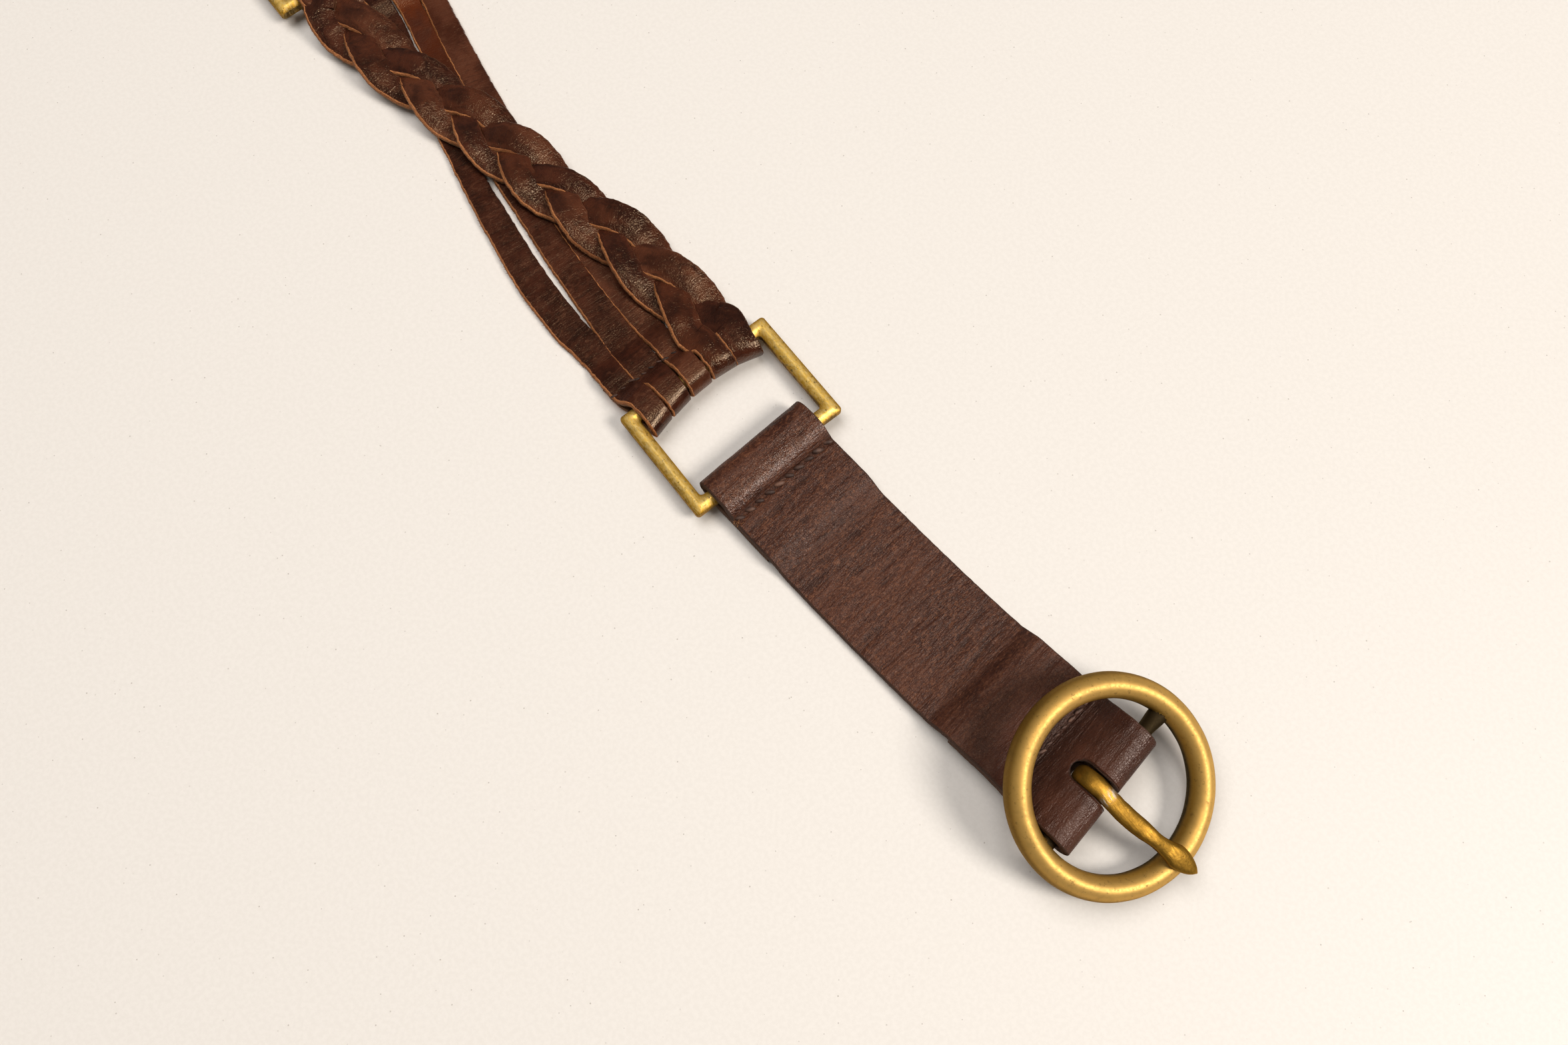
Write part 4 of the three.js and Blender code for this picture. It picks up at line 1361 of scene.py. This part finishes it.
def stripPiece(name, side, look):
    front = frontEdge + stripsWidth / 2
    rear = rearEdge + panelWidth - stripsWidth / 2
    sway, width = tableCurve(stripRows, 1), tableCurve(stripRows, 4)
    slit = tableCurve(stripRows, 2 if side < 0 else 3)
    length, leather = panelLook["length"], panelLook["leather"]
    fanShift, fanWidth = tableCurve(look["fan"], 1), tableCurve(look["fan"], 2)

    def widthOf(row):
        return panelLook["stripEnd"] * width(row[0] / length) + panelLook["closer"] + fanWidth(row[0])

    def lateral(distance):
        share = min(max(distance / length, 0), 1)
        middle = float(crossed(front, rear, share)) + panelWidth * sway(share)
        step = panelLook["stripEnd"] * (width(share) + max(0, slit(share))) + panelLook["slit"]
        return middle + side * step + fanShift(distance)

    route = ringFold(0, -1, leather, panelLook) + ringFold(length, 1, leather, panelLook)[::-1]
    at, path = evenRoute(route, panelLook["step"])
    turnFront, turnRear = at[np.argmin(path[:, 0])], at[np.argmax(path[:, 0])]
    seamFront = seamPlace(at, path, panelLook["seam"], turnFront, turnRear)
    seed = look["seed"]

    def relief(a, across):
        wave = waves(a, across, seed, panelLook["waves"])
        wave *= smooth((a - turnFront - 2) / 8) * smooth((turnRear - 2 - a) / 8)
        return wave + seamDent(a - seamFront, across, panelLook["dent"], panelLook["dentPitch"])

    def polish(a):
        return np.clip(bell((a - turnFront - 3.4) / 2.8) + bell((a - turnRear + 3.4) / 3), 0, 1)

    section = strapSection(panelLook["across"])
    material = leatherMaterial("stripLeather_" + name, {**stripFinish, **look})
    piece, points = strapPiece(
        "strip_" + name + "_leather", at, path, panelBase(lateral), widthOf, leather, section, material,
        {**stripShape, "relief": relief, "polish": polish, "seed": seed, "bend": crestBend,
         "layShift": 40 * side, "laySide": 11 * side, "upper": (turnFront, turnRear)},
    )
    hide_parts("strip_" + name)
    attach(piece, "belt")
    fuzzyEdges.append(cutEdge(at, points, section, turnFront, turnRear))
    # the seam runs over the fold's top, a little above its leather and clear of its edges
    seam = points[int(np.argmin(np.abs(at - seamFront))), edgeSteps:edgeSteps + panelLook["across"]]
    stripSeams.append(seam[2:-2] + np.array([0, 0, 0.06]))
    print("strip", name, len(piece.data.polygons), "faces")


for place, (name, look) in zip((-1, 0, 1), stripLooks.items()):
    stripPiece(name, place, look)


# plait
plaitLook = {
    "width": 20.0,
    "strand": 9.4,
    "leather": 1.7,
    "endStrand": 5.1,
    "frontStrand": 7.9,
    "hiddenEnd": 10.0,
    "rise": 1.62,
    "droop": 9.0,
    "tuck": 3.2,
    "ease": 8.5,
    "step": 0.55,
    "across": 20,
    "waves": [(0.22, 0.1, 0, 0, 0.16), (0.6, 0.3, 0, 4, 0.07)],
    # sideways bulge of the right end at the front ring, by the distance behind its bar
    "bulge": [(-20, 0), (-6, 0.3), (0, 1.0), (5, 2.2), (10, 2.2), (16, 1.0), (22, 0), (180, 0)],
    # share of the length and lobes counted on the left side
    "lobes": [
        (0, -0.2), (0.183, 1), (0.314, 2), (0.427, 3), (0.535, 4),
        (0.645, 5), (0.767, 6), (0.907, 7), (1, 7.65),
    ],
}
strandLooks = {
    0: {"seed": 31, "middle": (0.074, 0.0185, 0.0078, 1), "dark": (0.026, 0.0064, 0.0035, 1)},
    1: {"seed": 32, "middle": (0.092, 0.0255, 0.0112, 1), "dark": (0.036, 0.0094, 0.0048, 1)},
    2: {"seed": 33, "middle": (0.060, 0.0145, 0.0068, 1), "dark": (0.022, 0.0056, 0.0035, 1)},
}
strandFinish = {
    **stripFinish,
    "lines": 0.0,
    "streaks": 0.2,
    "smoothing": 0.25,
    "ior": 1.52,
    "roughLow": 0.12,
    "roughHigh": 0.21,
    "wrinkleSize": (0.4, 0.22, 1.0),
    "wrinkleBump": 0.6,
    "grainBump": 0.3,
}
strandShape = {"bevel": 0.38, "ragged": 0.14, "crown": 0.42, "skive": (0.0, 0.4), "raw": (0.6, 1.0)}


def strandPiece(turn, look):
    p = plaitLook
    length = panelLook["length"]
    front = frontEdge + panelWidth - panelLook["braidEnd"] / 2
    rear = rearEdge + panelLook["braidEnd"] / 2
    sway = tableCurve(braidRows, 1)
    swing = (p["width"] - p["strand"]) / 2
    tuck, ease = p["tuck"], p["ease"]
    lobes = tableCurve(p["lobes"], 1)
    bulge = tableCurve(p["bulge"], 1)
    overBar = ringTop + clearance + p["leather"] / 2
    middle = panelLook["leather"] + clearance + p["rise"] + p["leather"] / 2

    def openness(d):
        return float(smooth((d - tuck) / ease) * smooth((length - tuck - d) / ease))

    def angle(d):
        return 2 * math.pi * (lobes(d / length) + turn) / 3 + math.pi / 2

    def order(d):
        # place of the strand at a ring: left, middle or right
        def place(k):
            return -math.sin(angle(d) + (k - turn) * 2 * math.pi / 3)
        return sorted((0, 1, 2), key=place).index(turn) - 1

    orderFront, orderRear = order(tuck), order(length - tuck)

    def endWidth(d):
        return p["frontStrand"] if d < length / 2 else p["endStrand"]

    def lateral(d):
        share = min(max(d / length, 0), 1)
        place = float(crossed(front, rear, share)) + p["width"] * sway(share)
        end = (panelLook["braidEnd"] - endWidth(d)) / 2 * (orderFront if d < length / 2 else orderRear)
        if orderFront > 0:
            place += bulge(d) / 2
        return place + lerp(end, -math.sin(angle(d)) * swing, smooth(openness(d) * 1.4))

    def rise(d):
        share = openness(d)
        return lerp(overBar, middle, share) - math.sin(2 * angle(d)) * p["rise"] * share

    def widthOf(row):
        share = float(smooth(openness(row[0]) * 2.2)) if row[2] > 0 else 0.0
        width = lerp(endWidth(row[0]), p["strand"], share)
        return width + (bulge(row[0]) if orderFront > 0 else 0.0)

    def roll(row):
        if row[2] <= 0:
            return 0.0
        a = angle(row[0])
        over = smooth(-math.sin(2 * a))
        return math.radians(p["droop"]) * float(over) * math.copysign(1, math.sin(a)) * openness(row[0])

    hidden = orderFront == 0
    rows = [] if hidden else [(d, h, 0) for d, h in ringFold(0, -1, p["leather"], panelLook, True)]
    start = p["hiddenEnd"] if hidden else tuck
    rows += [(d, rise(d), 1) for d in np.linspace(start, length - tuck, 330)]
    rows += [(d, h, 0) for d, h in ringFold(length, 1, p["leather"], panelLook, True)[::-1]]
    at, path = evenRoute(rows, p["step"])
    turnFront, turnRear = at[np.argmin(path[:, 0])], at[np.argmax(path[:, 0])]
    seed = look["seed"]

    def relief(a, across):
        wave = waves(a, across, seed, p["waves"])
        return wave * smooth((a - turnFront) / 6) * smooth((turnRear - a) / 6)

    def polish(a):
        return np.clip(bell((a - turnFront - 3) / 3.5) + bell((a - turnRear + 3) / 3.5) + 0.3, 0, 1)

    section = strapSection(p["across"])
    material = leatherMaterial("strandLeather_" + str(turn), {**strandFinish, **look})
    piece, points = strapPiece(
        "plait_strand_" + "abc"[turn], at, path, panelBase(lateral), widthOf, p["leather"], section,
        material,
        {**strandShape, "relief": relief, "polish": polish, "seed": seed, "bend": crestBend, "roll": roll,
         "layShift": 31 * turn, "laySide": 17 * turn, "upper": (turnFront, turnRear)},
    )
    if turn == 0:
        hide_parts("braid")
    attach(piece, "belt")
    fuzzyEdges.append(cutEdge(at, points, section, turnFront, turnRear))
    print("strand", turn, len(piece.data.polygons), "faces")


for turn, look in strandLooks.items():
    strandPiece(turn, look)

tuftLook = {"pitch": 0.12, "length": 1.3, "thick": 0.2, "spread": 80.0, "seed": 8}
fibreLook = {"pitch": 0.55, "length": 0.75, "thick": 0.11, "slant": 80.0, "spread": 60.0, "seed": 7}
alongPaths("cut_edge_fibres", fibreNodes, fuzzyEdges, fibreLook, fibreTan, "belt")
tuft = [onTab(ringSeamAt + ahead, -tabLook["width"] / 2 + 0.4, -0.3) for ahead in (-0.9, 0.0, 0.9, 1.8)]
alongPaths("seam_end_tuft", fibreNodes, [tuft], {**fibreLook, **tuftLook}, fibreTan, "belt")
print("fibres are in")


# free end behind the rear ring
tongueLook = {
    "length": 150.0,
    "side": 0.6,
    "tip": 26.0,
    "hole": 5.0,
    "holePitch": 22.0,
    "holes": 4,
    "holeFromTip": 40.0,
    "tipStep": 2.6,
    "waves": [(0.16, 0.07, 3, 0, 0.14), (0.42, 0.12, 0, 1, 0.07)],
    "dent": (0.5, 1.25, 0.35),
}


def tongueBase(row):
    origin = np.array([rearRingX - barPlace - row[0], ringLook["rearY"] + tongueLook["side"], 0.0])
    return origin, np.array([-1.0, 0, 0]), np.array([0, 0, 1.0])


def tonguePiece():
    t = tongueLook
    leather = tabLook["leather"]
    route = ringFold(0, -1, leather, tabLook)
    straight = t["length"] - t["tip"]
    end = t["length"] - 0.1
    reach = tabLook["flap"] + clearance + tabLook["drop"]
    route += [(d, leather / 2) for d in np.linspace(reach, end, 200)[1:]]
    at, path = evenRoute(route, tabLook["step"])
    # closer stations at the rounded tip
    tipAt = [end - t["tipStep"] * (1 - k) ** 2 for k in np.linspace(0, 1, 9)]
    keep = path[:, 0] < tipAt[0]
    keep |= np.arange(len(path)) < len(path) // 2
    last = at[keep][-1] + (np.array(tipAt) - path[keep][-1, 0])
    at = np.concatenate([at[keep], last])
    path = np.concatenate([path[keep], np.column_stack([tipAt, np.full(len(tipAt), leather / 2)])])
    turnAt = at[np.argmin(path[:, 0])]
    seamAt = seamPlace(at, path, tabLook["seam"], turnAt, at[-1])

    def widthOf(row):
        past = min(max((row[0] - straight) / t["tip"], 0), 1)
        return tabLook["width"] * math.sqrt(1 - past * past)

    def relief(a, across):
        ripple = waves(a, across, 51, t["waves"])
        dent = seamDent(a - seamAt, across, t["dent"], tabStitches["pitch"])
        return ripple * smooth((a - turnAt) / 4) * smooth((at[-1] - a) / 5) + dent

    def polish(a):
        return bell((a - turnAt - 5) / 4)

    piece, _ = strapPiece(
        "tongue_leather", at, path, tongueBase, widthOf, leather, strapSection(tabLook["across"]),
        tabLeather,
        {"bevel": 0.55, "ragged": 0.05, "relief": relief, "polish": polish, "seed": 6, "layShift": 300},
    )
    piece = punched(piece)
    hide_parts("tongue")
    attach(piece, "belt")
    i = int(np.argmin(np.abs(at - seamAt)))
    top = path[i, 1] + leather / 2 - tabStitches["sink"]
    x = rearRingX - barPlace - path[i, 0]
    half = tabLook["width"] / 2 - tabStitches["inset"]
    y = ringLook["rearY"] + t["side"]
    seam = [(x, y + across, top) for across in np.linspace(-half, half, 24)]
    alongPaths("stitches_free_end", stitchNodes, [seam], {**tabStitches, "seed": 15}, threadDark, "belt")
    print("free end:", len(piece.data.polygons), "faces")


def punched(piece):
    # a row of round holes cut by a node tree
    tree, given, result = geometryTree("holeRow", {
        "Geometry": "Geometry", "Radius": "Float", "Pitch": "Float", "Depth": "Float",
        "Count": "Int", "First": "Vector", "Material": "Material",
    })
    node, link = tree.nodes.new, tree.links.new
    row = node("GeometryNodeMeshLine")
    offset = node("ShaderNodeCombineXYZ")
    link(given.outputs["Pitch"], offset.inputs[0])
    link(given.outputs["Count"], row.inputs["Count"])
    link(given.outputs["First"], row.inputs["Start Location"])
    link(offset.outputs[0], row.inputs["Offset"])
    punch = node("GeometryNodeMeshCylinder")
    punch.inputs["Vertices"].default_value = 40
    link(given.outputs["Radius"], punch.inputs["Radius"])
    link(given.outputs["Depth"], punch.inputs["Depth"])
    copies = node("GeometryNodeInstanceOnPoints")
    link(row.outputs[0], copies.inputs["Points"])
    link(punch.outputs[0], copies.inputs["Instance"])
    real = node("GeometryNodeRealizeInstances")
    link(copies.outputs[0], real.inputs[0])
    cut = node("GeometryNodeMeshBoolean")
    cut.operation = "DIFFERENCE"
    cut.solver = "EXACT"
    link(given.outputs["Geometry"], cut.inputs["Mesh 1"])
    link(real.outputs[0], cut.inputs["Mesh 2"])
    paint = node("GeometryNodeSetMaterial")
    link(cut.outputs[0], paint.inputs[0])
    link(given.outputs["Material"], paint.inputs["Material"])
    link(paint.outputs[0], result.inputs[0])
    t = tongueLook
    first = np.array([
        rearRingX - barPlace - t["length"] + t["holeFromTip"],
        ringLook["rearY"] + t["side"],
        tabLook["leather"] / 2,
    ]) * mm + shift
    return workedBy(tree, piece, {
        "Radius": t["hole"] / 2 * mm,
        "Pitch": t["holePitch"] * mm,
        "Depth": 4 * tabLook["leather"] * mm,
        "Count": t["holes"],
        "First": first.tolist(),
        "Material": tabLeather,
    })


tonguePiece()

# stitches across the folded ends of the strips at the front ring
stripStitches = {"pitch": 2.5, "length": 2.0, "thick": 0.62, "slant": 20.0, "seed": 12}
alongPaths("stitches_strips", stitchNodes, stripSeams, stripStitches, threadDull, "belt")


# floor, light and camera
floorLook = {
    "size": 6.0,
    "speckScale": 400.0,
    "speck": (0.45, 0.38, 0.32, 1),
    "light": (0.86, 0.795, 0.72, 1),
    "dark": (0.83, 0.765, 0.69, 1),
    "rough": 0.5,
    "ior": 1.4,
}


def floorPiece():
    material, tree, shader = newMaterial("paleFloor")
    place = objectPlace(tree)
    cells = tree.nodes.new("ShaderNodeTexVoronoi")
    feed(tree, cells.inputs["Vector"], place)
    cells.inputs["Scale"].default_value = floorLook["speckScale"]
    strength = splitVector(tree, cells.outputs["Color"])[0]
    dot = rangeNode(tree, cells.outputs["Distance"], 0.05, 0.1, 1, 0)
    dot = mathNode(tree, "MULTIPLY", dot, rangeNode(tree, strength, 0.45, 1.0, 0, 0.75))
    fine = noiseNode(tree, place, 900.0, 3.0, 0.6)
    color = mixColor(tree, rangeNode(tree, fine, 0.35, 0.65), floorLook["light"], floorLook["dark"])
    color = mixColor(tree, dot, color, floorLook["speck"])
    feed(tree, shader.inputs["Base Color"], color)
    shader.inputs["Roughness"].default_value = floorLook["rough"]
    shader.inputs["IOR"].default_value = floorLook["ior"]
    half = floorLook["size"] / 2
    mesh = bpy.data.meshes.new("floor")
    corners = [(-half, -half, 0), (half, -half, 0), (half, half, 0), (-half, half, 0)]
    mesh.from_pydata(corners, [], [(0, 1, 2, 3)])
    mesh.materials.append(material)
    floor = bpy.data.objects.new("floor", mesh)
    bpy.context.scene.collection.objects.link(floor)


floorPiece()

cameraLook = {
    "place": (104.83, -61.79, 305.3),
    "ahead": (-0.2301, 0.1731, -0.9577),
    "right": (0.6012, 0.7991, 0),
    "roll": -0.021779,
    "lens": 27.53,
    "sensor": 36,
}


def cameraPiece():
    ahead = Vector(cameraLook["ahead"]).normalized()
    right = Vector(cameraLook["right"]).normalized()
    above = right.cross(ahead)
    roll = cameraLook["roll"]
    turnedRight = right * math.cos(roll) + above * math.sin(roll)
    turnedUp = above * math.cos(roll) - right * math.sin(roll)
    data = bpy.data.cameras.new("camera")
    data.sensor_width = cameraLook["sensor"]
    data.sensor_fit = "HORIZONTAL"
    data.lens = cameraLook["lens"]
    data.clip_start, data.clip_end = 0.01, 20
    camera = bpy.data.objects.new("camera", data)
    bpy.context.scene.collection.objects.link(camera)
    matrix = Matrix((turnedRight, turnedUp, -ahead)).transposed().to_4x4()
    matrix.translation = Vector(np.array(cameraLook["place"]) * mm + shift)
    camera.matrix_world = matrix
    bpy.context.scene.camera = camera


cameraPiece()

# place and size in metres, power in watts; "lights" and "mirrored" say which rays see the lamp
lightLooks = {
    "keyLight": {"place": (1.35, 0.75, 1.5), "size": 0.75, "power": 30.0, "color": (1.0, 0.97, 0.93)},
    "fillLight": {"place": (-0.85, -0.15, 2.2), "size": 2.0, "power": 37.5,
                  "color": (0.975, 0.98, 1.0), "mirrored": False},
    "skyPanel": {"place": (-0.2, 0.4, 2.0), "size": 1.2, "power": 0.8, "color": (1.0, 0.98, 0.95)},
    "glossLight": {"place": (0.42, 0.2, 1.9), "size": 0.3, "power": 7.0,
                   "color": (1.0, 0.9, 0.76), "lights": False},
}
roomLook = {"color": (1.0, 0.97, 0.93, 1), "strength": 0.12, "lampsAim": (0.05, 0.0, 0.0)}

for name, look in lightLooks.items():
    data = bpy.data.lights.new(name, "AREA")
    data.shape = "DISK"
    data.size = look["size"]
    data.energy = look["power"]
    data.color = look["color"]
    lamp = bpy.data.objects.new(name, data)
    lamp.location = look["place"]
    lamp.visible_diffuse = look.get("lights", True)
    lamp.visible_glossy = look.get("mirrored", True)
    aim = Vector(roomLook["lampsAim"]) - Vector(look["place"])
    lamp.rotation_euler = aim.to_track_quat("-Z", "Y").to_euler()
    bpy.context.scene.collection.objects.link(lamp)

world = bpy.data.worlds.new("softRoom")
world.use_nodes = True
background = world.node_tree.nodes["Background"]
background.inputs[0].default_value = roomLook["color"]
background.inputs[1].default_value = roomLook["strength"]
bpy.context.scene.world = world
bpy.context.scene.view_settings.view_transform = "Standard"
print("floor, light and camera are in")
